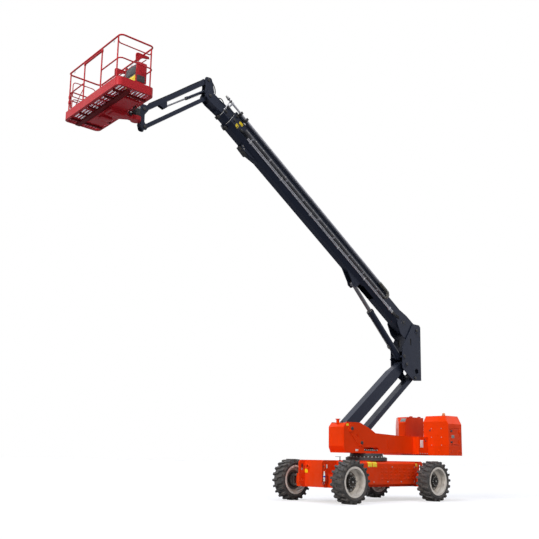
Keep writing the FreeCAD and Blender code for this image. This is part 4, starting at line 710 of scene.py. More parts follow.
def camera_axes():
    """Right, up and back of the camera, from its yaw, pitch and roll."""
    forward = np.array([-math.cos(CAMERA_YAW) * math.cos(CAMERA_PITCH),
                        -math.sin(CAMERA_YAW) * math.cos(CAMERA_PITCH), math.sin(CAMERA_PITCH)])
    right = np.cross(forward, [0, 0, 1])
    right /= np.linalg.norm(right)
    up = np.cross(right, forward)
    c, s = math.cos(CAMERA_ROLL), math.sin(CAMERA_ROLL)
    return np.array([c * right + s * up, -s * right + c * up, -forward])


class BOOMLIFT_OT_stage(bpy.types.Operator):
    """Set up the camera, the lamps, the world and the floor"""
    bl_idname = "boomlift.stage"
    bl_label = "Studio"

    def execute(self, context):
        values = context.scene.boomlift_stage
        scene = context.scene
        scene.view_settings.view_transform = "Standard"
        self.camera(scene, values.lens)
        self.lamp(scene, "key_lamp", (0.88, 0.10, 0.46), values.key, 24.0, (1.0, 0.97, 0.93))
        self.lamp(scene, "side_lamp", (0.30, 0.92, 0.26), values.key * 0.46, 50.0,
                  (1.0, 0.93, 0.86))
        self.lamp(scene, "sky_lamp", (0.05, 0.05, 1.0), values.key * 1.15, 60.0, (0.80, 0.85, 1.0))
        self.world(scene, values.ambient)
        self.floor(values.floor)
        return {"FINISHED"}

    def camera(self, scene, lens_mm):
        """Camera at its measured place, with the shift that its framing needs."""
        data = bpy.data.cameras.new("camera")
        data.lens = lens_mm
        data.sensor_width = 36.0
        data.shift_x = (IMAGE_SIDE / 2 - CAMERA_CENTRE[0]) / IMAGE_SIDE
        data.shift_y = (CAMERA_CENTRE[1] - IMAGE_SIDE / 2) / IMAGE_SIDE
        data.clip_end = 500.0
        made = bpy.data.objects.new("camera", data)
        scene.collection.objects.link(made)
        made.matrix_world = (Matrix.Translation(Vector(ORIGIN + np.array(CAMERA_PLACE)))
                             @ Matrix(camera_axes().T.tolist()).to_4x4())
        scene.camera = made

    def lamp(self, scene, name, towards, strength, spread, colour):
        """A wide soft lamp far away, in the direction given."""
        data = bpy.data.lights.new(name, "SUN")
        data.energy = strength
        data.color = colour
        data.angle = spread * RADIANS
        made = bpy.data.objects.new(name, data)
        scene.collection.objects.link(made)
        made.matrix_world = Matrix(facing(towards).T.tolist()).to_4x4()

    def world(self, scene, ambient):
        """White behind the machine and in what reflects or lets it through, dimmer as a light."""
        world = bpy.data.worlds.new("studio")
        scene.world = world
        world.use_nodes = True
        tree = world.node_tree
        tree.nodes.clear()
        seen = node(tree, "ShaderNodeBackground", {"Color": WHITE, "Strength": 1.0})
        lit = node(tree, "ShaderNodeBackground",
                   {"Color": (0.94, 0.97, 1.0, 1), "Strength": ambient})
        rays = node(tree, "ShaderNodeLightPath").outputs
        first = node(tree, "ShaderNodeMath", {0: rays["Is Camera Ray"], 1: rays["Is Glossy Ray"]},
                     operation="MAXIMUM")
        both = node(tree, "ShaderNodeMath", {0: first.outputs[0], 1: rays["Is Transmission Ray"]},
                    operation="MAXIMUM")
        mixed = node(tree, "ShaderNodeMixShader",
                     {0: both.outputs[0], 1: lit.outputs[0], 2: seen.outputs[0]})
        node(tree, "ShaderNodeOutputWorld", {"Surface": mixed.outputs[0]})

    def floor(self, colour):
        """A wide round floor that keeps the shadow and is nearly white where it is lit."""
        t = np.linspace(0, 2 * np.pi, 96, endpoint=False)
        reach = np.array([0.0, 8.0, 25.0, 80.0, 200.0])
        grid = np.stack([reach[:, None] * np.cos(t), reach[:, None] * np.sin(t),
                         np.full((len(reach), len(t)), CAD_BOX[0][2])], axis=-1)
        mesh = bpy.data.meshes.new("floor")
        index = np.arange(len(reach) * len(t)).reshape(len(reach), len(t))
        around = np.roll(index, -1, axis=1)
        quads = np.stack([index[:-1], index[1:], around[1:], around[:-1]], axis=-1).reshape(-1, 4)
        mesh.from_pydata(grid.reshape(-1, 3), [], quads)
        weld(mesh, 60.0)
        made = bpy.data.objects.new("floor", mesh)
        bpy.context.scene.collection.objects.link(made)
        mix = Mix("studio_floor")
        shown = mix.over(mix.patches(0.4, 3.0, 0.55, 0.3, 0.7), tint(colour, 0.985), colour)
        seen = mix.node("LightPath").outputs["Is Camera Ray"]
        white = mix.node("Emission", {"Color": WHITE, "Strength": 1.0}).outputs[0]
        fill(mix.tree, mix.shader.inputs["Base Color"], mix.over(seen, tint(colour, 0.30), shown))
        mix.shader.inputs["Roughness"].default_value = 0.9
        mix.shader.inputs["Specular IOR Level"].default_value = 0.0
        mixed = mix.node("MixShader", {0: mix.times(seen, 0.62), 1: mix.shader.outputs[0],
                                       2: white})
        fill(mix.tree, mix.tree.nodes["Material Output"].inputs["Surface"], mixed.outputs[0])
        mesh.materials.append(mix.material)


# ---------------------------------------------------------------- wheels and chassis
TRACK_HALF = 1.065
SLEW_X = -0.120
CORNER_SIGNS = dict(zip(CORNERS, ((1, 1), (1, -1), (-1, 1), (-1, -1))))


class BOOMLIFT_OT_wheels(bpy.types.Operator):
    """Nuts, hub bolts, sidewall rings and valve of each wheel"""
    bl_idname = "boomlift.wheels"
    bl_label = "Wheel fittings"

    def execute(self, context):
        nut = context.scene.boomlift_sizes.wheel_nut
        for corner, (fore, side) in CORNER_SIGNS.items():
            middle = np.array([fore * AXLE_X, side * TRACK_HALF, WHEEL_HEIGHT])
            axes = facing((0, side, 0))
            body = "wheel_" + corner
            disc = middle + [0, side * -0.040, 0]
            face = middle + [0, side * 0.075, 0]
            piece("wheel_nuts_" + corner,
                  bolts_at(ring_of(disc, 0.205, 10, axes), nut, 0.024, axes), body, "bolt")
            piece("hub_bolts_" + corner,
                  bolts_at(ring_of(face, 0.118, 12, axes), 0.009, 0.009, axes)
                  + [plug(0.024, 0.010, face + [0, side * 0.016, 0], axes)], body, "bolt")
            set_in = middle - np.array([0, side * 0.0005, 0])
            piece("sidewall_rings_" + corner, self.rings(set_in, side), body, "tyre")
            stem = np.array([[0.262, 0.0, -0.040], [0.262, 0.0, -0.022], [0.270, 0.0, -0.004]])
            piece("valve_" + corner, [placed(tube(stem, 0.006, 8), middle, axes)], body, "moulding")
        return {"FINISHED"}

    def rings(self, middle, side):
        """Raised rings on both sidewalls of a tyre."""
        made = []
        for out in (1, -1):
            axes = facing((0, side * out, 0))
            for radius, wall in ((0.396, 0.1690), (0.406, 0.1712), (0.428, 0.1765)):
                profile = [(radius - 0.0045, wall - 0.004), (radius - 0.003, wall + 0.0032),
                           (radius + 0.003, wall + 0.0036), (radius + 0.0045, wall - 0.003),
                           (radius - 0.0045, wall - 0.004)]
                made.append(placed(turned(profile, 72), middle, axes))
        return made


class BOOMLIFT_OT_chassis(bpy.types.Operator):
    """Vents, bolts, tags and couplings of the chassis"""
    bl_idname = "boomlift.chassis"
    bl_label = "Chassis fittings"

    def execute(self, context):
        bolt = context.scene.boomlift_sizes.bolt
        x, z = np.meshgrid(np.linspace(-1.33, -0.03, 8), np.linspace(0.60, 0.87, 4))
        places = np.stack([x.ravel(), np.full(x.size, 0.6195), z.ravel()], axis=-1)
        vent = stacked(rounded_outline(0.038, 0.011, 0.0105), 0.015, 0.009)
        piece("side_vents", mirrored([at_each(vent, places, LEFT)]), "chassis", "body")
        low = row_of((-1.39, 0.6197, 0.517), (1.39, 0.6197, 0.517), 6)
        high = row_of((-1.39, 0.6197, 0.905), (1.39, 0.6197, 0.905), 4)
        piece("side_bolts", mirrored(bolts_at(np.concatenate([low, high]), bolt, 0.010, LEFT)),
              "chassis", "bolt")
        ring = ring_of((SLEW_X, 0, 1.150), 0.500, 30, LEVEL)
        piece("slew_bolts", bolts_at(ring, 0.016, 0.022, LEVEL), "chassis", "bolt")
        strip = arc_strip(0.165, 0.0553, 4.0, 86.0, 0.0014)
        piece("edge_stickers", [placed(strip, (x, 0.565, 0.975)) for x in (0.235, 0.425)]
              + [card((x, 0.6198, 0.935), LEFT, (0.165, 0.070)) for x in (0.235, 0.425)],
              "chassis", "notice")
        piece("chassis_stickers", [card((-1.72, 0.430, 0.962), LEFT, (0.085, 0.085)),
                                   card((1.800, -0.345, 0.780), AHEAD, (0.105, 0.095))],
              "chassis", "notice")
        piece("chassis_cards", [card((1.828, 0.430, 0.905), LEFT, (0.040, 0.095))], "chassis",
              "card")
        piece("eye_rims", self.rims(), "chassis", "body")
        self.coupling()
        self.stalk()
        self.axle_plugs()
        return {"FINISHED"}

    def rims(self):
        """Welded rings round the slots' lower holes and the lashing eyes."""
        corners = CORNER_SIGNS.values()
        made = [placed(hoop(0.041, 0.006), (fore * 1.890, side * 0.430, 0.560),
                       facing((0, side, 0)))
                for fore, side in corners]
        return made + [placed(hoop(0.060, 0.007), (fore * 1.816, side * 0.300, 0.895),
                              facing((fore, 0, 0))) for fore, side in corners]

    def coupling(self):
        """Test coupling on the front left ear: a white bottle, its blue band, clamps and ring."""
        profile = [(0, 0), (0.020, 0), (0.026, 0.012), (0.026, 0.165), (0.018, 0.190),
                   (0.014, 0.235), (0.009, 0.250), (0, 0.250)]
        place = np.array([1.945, 0.460, 0.535])
        piece("coupling_bottle", [placed(turned(profile, 20), place)], "chassis", "card")
        stripe = [(0.0255, 0.100), (0.0275, 0.102), (0.0275, 0.138), (0.0255, 0.140)]
        piece("coupling_band", [placed(band(stripe, 20), place)], "chassis", "blue_cap")
        clamp = block((0.074, 0.026, 0.034), 0.010, 0.003)
        piece("coupling_clamps", [placed(clamp, place + (0, -0.031, 0.050), LEFT),
                                  placed(clamp, place + (0, -0.031, 0.178), LEFT),
                                  plug(0.019, 0.020, (1.943, 0.430, 0.905), LEFT)],
              "chassis", "moulding")
        piece("coupling_ring", [placed(hoop(0.030, 0.005), (1.945, 0.438, 0.492), LEFT)], "chassis",
              "zinc")

    def stalk(self):
        """Small sensor stalk on the deck ahead of the slewing ring, with a flat arm."""
        post = turned([(0, 0), (0.026, 0), (0.026, 0.008), (0.012, 0.012), (0.012, 0.085),
                       (0.016, 0.092), (0.010, 0.098), (0, 0.098)], 14)
        arm = block((0.190, 0.032, 0.010), 0.008, 0.002)
        piece("sensor_stalk", [placed(post, (1.250, 0.330, 1.060)),
                               placed(arm, (1.315, 0.330, 1.146))], "chassis", "moulding")

    def axle_plugs(self):
        """Grease caps over and under each kingpin."""
        for corner, (fore, side) in CORNER_SIGNS.items():
            place = np.array([fore * AXLE_X, side * (TRACK_HALF - 0.260), WHEEL_HEIGHT])
            cap = [plug(0.030, 0.012, place + (0, 0, 0.150)),
                   plug(0.030, 0.012, place - (0, 0, 0.150), BELOW)]
            rim = bolts_at(ring_of(place + (0, 0, 0.150), 0.055, 6, LEVEL), 0.007, 0.007, LEVEL)
            piece("kingpin_caps_" + corner, cap + rim, "knuckle_" + corner, "bolt")


# ---------------------------------------------------------------- turntable
PIN_FACES = {"turntable": (((0.750, 1.890), (0.375, 1.525)), 0.294),
             "upright": (((-1.620, 3.820), (-1.995, 3.455), (-2.100, 4.860), (-1.510, 4.040)),
                         0.233)}


class BOOMLIFT_OT_pins(bpy.types.Operator):
    """Keeper plates and caps on the big pins, and the upright's backing plates and bolts"""
    bl_idname = "boomlift.pins"
    bl_label = "Pin keepers"

    def execute(self, context):
        for body, (pivots, reach) in PIN_FACES.items():
            caps, plates = [], []
            for x, z in pivots:
                end = np.array([x, reach, z])
                cap = turned([(0, 0), (0.049, 0), (0.049, 0.010), (0.044, 0.014),
                              (0.020, 0.016), (0.016, 0.012), (0, 0.012)], 28)
                caps.append(placed(cap, end, LEFT))
                flag = end + [0.030, -0.008 if body == "upright" else 0.0, -0.062]
                plates.append(lump((0.105, 0.046, 0.012), 0.010, 0.002, flag, LEFT))
                plates += bolts_at(flag + np.array([[-0.034, 0.012, 0], [0.034, 0.012, 0]]), 0.010,
                                   0.009, LEFT)
            piece(body + "_pin_caps", mirrored(caps), body, "dark")
            piece(body + "_pin_keepers", mirrored(plates), body,
                  "body" if body == "turntable" else "slate")
        backing = block((0.096, 0.236, 0.007), 0.040, 0.002)
        piece("upright_backings", mirrored([placed(backing, (-1.820, 0.1965, 4.490), LEFT)]),
              "upright", "dark")
        bolts = [(-2.225, 0.225, z) for z in (3.560, 4.050, 4.700)] + [(-2.100, 0.225, 4.740)]
        piece("upright_bolts", mirrored(bolts_at(bolts, 0.014, 0.012, LEFT)), "upright", "dark")
        return {"FINISHED"}


class BOOMLIFT_OT_turntable(bpy.types.Operator):
    """Rails, slewing motors, stickers, bolts, grommets, vent and hoses of the turntable"""
    bl_idname = "boomlift.turntable"
    bl_label = "Turntable fittings"

    def execute(self, context):
        sizes = context.scene.boomlift_sizes
        rail = block((0.720, 0.050, 0.036), 0.012, 0.003)
        piece("inner_rails", mirrored([placed(rail, (-0.010, 0.222, 1.3004))]), "turntable", "dark")
        bolts = row_of((-0.300, 0.222, 1.336), (0.280, 0.222, 1.336), 8)
        piece("inner_slew_bolts", mirrored(bolts_at(bolts, 0.016, 0.024, LEVEL)), "turntable",
              "card")
        sleeve = band([(0.4405, 0), (0.447, 0), (0.452, 0.006), (0.452, 0.040), (0.447, 0.046),
                       (0.447, 0.090), (0.4405, 0.100)], 64)
        piece("slew_sleeve", [placed(sleeve, (SLEW_X, 0, 1.156))], "turntable", "dark")
        motor = turned([(0, 0), (0.046, 0), (0.048, 0.006), (0.048, 0.110), (0.042, 0.118),
                        (0.042, 0.170), (0.030, 0.178), (0, 0.180)], 28)
        piece("slew_motors", mirrored([placed(motor, (-0.560, 0.190, 1.3004)),
                                       placed(motor, (0.440, 0.190, 1.3004))]), "turntable", "dark")
        piece("tank_sticker", [card((0.915, 0.280, 1.985), LEFT, (0.090, 0.055))], "turntable",
              "notice")
        piece("turntable_cards", [card((-1.918, 0.480, 1.558), LEFT, (0.140, 0.210)),
                                  card((0.560, 0.280, 1.330), LEFT, (0.110, 0.050))],
              "turntable", "card")
        piece("grommets", [plug(0.024, 0.012, (-2.100, 0.480, 1.640), LEFT),
                           plug(0.020, 0.010, (-2.060, 0.480, 1.690), LEFT),
                           plug(0.022, 0.012, (-2.2049, 0.560, 1.937), AHEAD),
                           plug(0.026, 0.012, (0.536, 0.280, 1.560), LEFT)],
              "turntable", "moulding")
        self.filler()
        self.hoses(sizes.hose)
        seam = [lump((1.05, 0.020, 0.006), 0.009, 0.002, (-1.20, 0.2795, 1.300), LEFT),
                lump((0.020, 0.380, 0.006), 0.009, 0.002, (-0.700, 0.2795, 1.480), LEFT)]
        piece("cheek_welds", mirrored(seam), "turntable", "body")
        steps = row_of((-1.86, 0.4797, 1.285), (-2.16, 0.4797, 1.285), 4)
        piece("step_bolts", mirrored(bolts_at(steps, sizes.bolt, 0.010, LEFT)), "turntable", "bolt")
        return {"FINISHED"}

    def filler(self):
        """Grip ribs round the tank's filler cap and a small vent beside it."""
        place = np.array([0.970, -0.020, 2.127])
        ribs = at_each(block((0.012, 0.010, 0.016), 0.003, 0.002), ring_of(place, 0.062, 16, LEVEL))
        vent = turned([(0, 0), (0.014, 0), (0.014, 0.030), (0.024, 0.034), (0.024, 0.050),
                       (0.018, 0.056), (0, 0.058)], 16)
        piece("filler_ribs", [ribs], "turntable", "body")
        piece("tank_vent", [placed(vent, (0.960, 0.130, 2.038))], "turntable", "moulding")

    def hoses(self, radius):
        """Hoses from the slewing centre up between the cheeks, held by a bracket."""
        made = []
        for y in (-0.075, -0.025, 0.025, 0.075):
            path = bent([(-0.080, y, 1.295), (-0.080, y, 1.352), (0.300, y * 1.6, 1.352),
                         (0.620, y * 2.0, 1.352), (0.924, y * 2.0, 1.400)], 0.025)
            made.append(tube(path, radius, 10))
        piece("turntable_hoses", made, "turntable", "hose")
        piece("hose_bracket", [lump((0.060, 0.400, 0.008), 0.012, 0.003, (0.560, 0, 1.330)),
                               lump((0.020, 0.360, 0.034), 0.006, 0.003, (0.560, 0, 1.300))],
              "turntable", "dark")


# ---------------------------------------------------------------- tail
TAIL_R = 2.950


def tail_spot(degrees, z):
    """A point on the tail's round back and the axes that face out of it."""
    a = degrees * RADIANS
    out = np.array([-math.cos(a), -math.sin(a), 0.0])
    return np.array([SLEW_X, 0, z]) + TAIL_R * out, facing(out)


class BOOMLIFT_OT_tail(bpy.types.Operator):
    """Bolts, louvres, latches, stickers and ribs of the tail's covers, the weight's plugs and the
    beacon's fittings
    """
    bl_idname = "boomlift.tail"
    bl_label = "Cover fittings"

    def execute(self, context):
        bolt = context.scene.boomlift_sizes.bolt
        y, z = np.meshgrid((0.610, 0.955), (1.525, 1.745, 1.990))
        places = np.stack([np.full(y.size, -2.205), y.ravel(), z.ravel()], axis=-1)
        piece("cabinet_bolts", bolts_at(places, bolt * 0.8, 0.008, AHEAD)
              + self.round_back((-7.5, -13.0, -18.5, -23.0), (1.56, 2.00), bolt),
              "turntable", "bolt")
        slat = stacked(rounded_outline(0.045, 0.009, 0.0088), 0.010, 0.006)
        rows = row_of((-2.752, 1.1995, 1.535), (-2.752, 1.1995, 1.880), 9)
        piece("cabinet_louvres", [at_each(slat, rows, LEFT)], "turntable", "sheet")
        self.door()
        self.hood(slat)
        self.weight()
        self.beacon()
        return {"FINISHED"}

    def round_back(self, angles, heights, radius):
        """Cover bolts on the round back."""
        made = []
        for degrees in angles:
            for z in heights:
                place, axes = tail_spot(degrees, z)
                made += [placed(part, place - 0.001 * axes[2], axes)
                         for part in hex_bolt(radius, 0.010)]
        return made

    def door(self):
        """Latches, blank plate and ribs on the cabinet's door."""
        latch = block((0.090, 0.050, 0.010), 0.012, 0.004)
        grip = turned([(0, 0), (0.016, 0), (0.018, 0.006), (0.015, 0.014), (0, 0.016)], 18)
        made = []
        for z in (1.610, 1.920):
            made += [placed(latch, (-2.335, 1.1995, z), LEFT),
                     placed(grip, (-2.320, 1.209, z), LEFT)]
        piece("door_latches", made, "cabinet_door", "moulding")
        piece("door_sticker", [card((-2.400, 1.200, 1.765), LEFT, (0.130, 0.085))], "cabinet_door",
              "grey_card")
        rib = block((0.340, 0.014, 0.006), 0.006, 0.0025)
        piece("door_ribs", [placed(rib, (-2.480, 1.1995, z), LEFT) for z in (1.565, 1.965)],
              "cabinet_door", "sheet")

    def hood(self, slat):
        """Louvres on the hood's slanted side and back, its latches and its roof sticker."""
        axes = facing((0.716, -0.698, 0))
        along = axes[0]
        middle = np.array([-2.500, -0.8925, 0])
        rows = row_of((0, 0, 1.620), (0, 0, 2.010), 10)
        made = [at_each(slat * [2.2, 1.0, 1.0], middle + rows + shift * along, axes)
                for shift in (-0.16, 0.16)]
        for degrees in (9.0, 15.0, 21.0):
            for z in np.linspace(1.62, 1.98, 9):
                place, back = tail_spot(degrees, z)
                made.append(placed(slat * [1.7, 1.0, 1.0], place - 0.0015 * back[2], back))
        piece("hood_louvres", made, "engine_hood", "sheet")
        latch = block((0.070, 0.045, 0.012), 0.010, 0.004)
        made = [placed(latch, middle + [0, 0, 1.535] + shift * along, axes)
                for shift in (-0.3, 0.3)]
        for degrees in (8.0, 20.0):
            place, back = tail_spot(degrees, 1.535)
            made.append(placed(latch, place - 0.001 * back[2], back))
        piece("hood_latches", made, "engine_hood", "moulding")
        piece("hood_sticker", [card((-2.262, -0.455, 2.2660), facing((0.817, 0, 0.577)),
                                    (0.190, 0.120))],
              "engine_hood", "grey_card")

    def weight(self):
        """Plugs in the weight's lifting holes, on its back, sides and front."""
        made = []
        for degrees in (-20.0, -7.0, 7.0, 20.0):
            place, axes = tail_spot(degrees, 1.360)
            made.append(plug(0.045, 0.014, place - 0.004 * axes[2], axes))
        for side in (1, -1):
            made += [plug(0.038, 0.010, (x, side * 1.199, 1.360), facing((0, side, 0)))
                     for x in (-2.330, -2.680)]
            made.append(plug(0.030, 0.010, (-2.2055, side * 0.850, 1.360), AHEAD))
        piece("weight_plugs", made, "turntable", "body")

    def beacon(self):
        """Ribs inside the beacon's lens and its black base ring."""
        place = np.array([-2.540, 0.800, 2.355])
        ribs = band([(0.0445, 0.022), (0.0462, 0.024), (0.0462, 0.027), (0.0445, 0.029)], 32)
        made = [placed(ribs, place + (0, 0, shift)) for shift in np.arange(4) * 0.010]
        piece("beacon_ribs", made, "turntable", "lamp")
        base = band([(0.040, 0.0005), (0.060, 0.0005), (0.062, 0.006), (0.058, 0.014),
                     (0.047, 0.0205), (0.040, 0.0205)], 32)
        piece("beacon_base", [placed(base, place)], "turntable", "moulding")


class BOOMLIFT_OT_engine(bpy.types.Operator):
    """Cover, filter, fan shroud, exhaust and hoses on the engine block"""
    bl_idname = "boomlift.engine"
    bl_label = "Engine dressing"

    def execute(self, context):
        top, middle = 2.100, -0.615
        cover = block((0.300, 0.150, 0.050), 0.030, 0.012)
        ribs = row_of((-2.76, middle, top + 0.05), (-2.55, middle, top + 0.05), 6)
        rib = block((0.010, 0.120, 0.008), 0.004, 0.002)
        piece("rocker_cover", [placed(cover, (-2.655, middle, top - 0.002)), at_each(rib, ribs)],
              "turntable", "dark")
        drum = turned([(0, 0), (0.062, 0), (0.068, 0.008), (0.068, 0.030), (0.063, 0.036),
                       (0.063, 0.180),
                       (0.068, 0.186), (0.068, 0.205), (0.060, 0.214), (0, 0.214)], 24)
        piece("air_filter", [placed(drum, (-2.76, -0.490, top + 0.066), AHEAD)], "turntable",
              "moulding")
        shroud = band([(0.060, 0), (0.165, 0), (0.172, 0.006), (0.172, 0.040), (0.150, 0.046),
                       (0.060, 0.020)], 32)
        piece("fan_shroud", [placed(shroud, (-2.449, middle, 1.830), AHEAD)], "turntable",
              "moulding")
        pulley = turned([(0, 0), (0.075, 0), (0.070, 0.010), (0.070, 0.014), (0.075, 0.024),
                         (0.030, 0.026), (0.028, 0.040), (0, 0.040)], 24)
        piece("fan_hub", [placed(pulley, (-2.450, middle, 1.830), AHEAD),
                          placed(pulley, (-2.450, -0.700, 1.610), AHEAD)], "turntable", "bolt")
        pipe = bent([(-2.70, -0.798, 1.95), (-2.70, -0.850, 1.95), (-2.60, -0.850, 1.95),
                     (-2.60, -0.850, 1.60)], 0.035)
        piece("exhaust", [tube(pipe, 0.026, 14),
                          placed(turned([(0, 0), (0.046, 0), (0.052, 0.010), (0.052, 0.210),
                                         (0.046, 0.220), (0, 0.220)], 20), (-2.60, -0.850, 1.650))],
              "turntable", "iron")
        hoses = [tube(eased([(-2.86, y, 2.00), (-2.90, y, 2.04), (-2.92, y, 1.95), (-2.91, y, 1.75),
                             (-2.86, y, 1.66)]), 0.016, 10) for y in (-0.52, -0.60)]
        piece("coolant_hoses", hoses, "turntable", "hose")
        return {"FINISHED"}


# ---------------------------------------------------------------- arms
BOOM_LEFT = np.array([BOOM_AXES[0], -BOOM_AXES[2], BOOM_AXES[1]])
BOOM_RIGHT = np.array([BOOM_AXES[0], BOOM_AXES[2], -BOOM_AXES[1]])
BOOM_BELOW = np.array([BOOM_AXES[0], -BOOM_AXES[1], -BOOM_AXES[2]])
BOOM_ALONG = np.array([BOOM_AXES[1], BOOM_AXES[2], BOOM_AXES[0]])
BOOM_SIDES = ((1, BOOM_LEFT), (-1, BOOM_RIGHT))


def along_boom(places):
    """Several points given along, across and square to the boom."""
    return BOOM_FOOT + np.asarray(places, float) @ BOOM_AXES


COLLAR_DEPTH = {"base_collar": 0.455, "mid_collar": 0.384}


def collar_pads(body, name, u, half, top, bolt):
    """Adjuster blocks of the wear pads round a section's collar, each with two bolts."""
    blocks, bolts = [], []
    pad = block((0.085, 0.055, 0.022), 0.008, 0.003)
    pair = np.array([[-0.024, 0, 0], [0.024, 0, 0]])
    for v in (-half * 0.55, half * 0.55):
        blocks.append(placed(pad, on_boom(u, v, top - 0.001), BOOM_AXES))
        bolts += bolts_at(along_boom(pair + [u, v, top + 0.022 - 0.001]), bolt, 0.010, BOOM_AXES)
    for side, axes in BOOM_SIDES:
        for w in (top - 0.075, top - 0.225):
            place = np.array([u, side * (half - 0.001), w])
            blocks.append(placed(pad, on_boom(*place), axes))
            bolts += bolts_at(along_boom(pair + place + [0, side * 0.022, 0]), bolt, 0.010, axes)
    low = top - COLLAR_DEPTH[name]
    for v in (-0.045, 0.045):
        blocks.append(placed(pad * [1.0, 1.0, 1.6], on_boom(u + 0.02, v, low + 0.001), BOOM_BELOW))
    piece(name + "_pads", blocks, body, "moulding")
    piece(name + "_pad_bolts", bolts, body, "dark")
    rows = np.array([[u - 0.05 * i, side * half, low + 0.135 + 0.028 * (i % 2)]
                     for i in range(5) for side in (1, -1)])
    dots = []
    for side, axes in BOOM_SIDES:
        dots += bolts_at(along_boom(rows[rows[:, 1] * side > 0]), bolt * 0.8, 0.009, axes)
    piece(name + "_side_bolts", dots, body, "moulding")


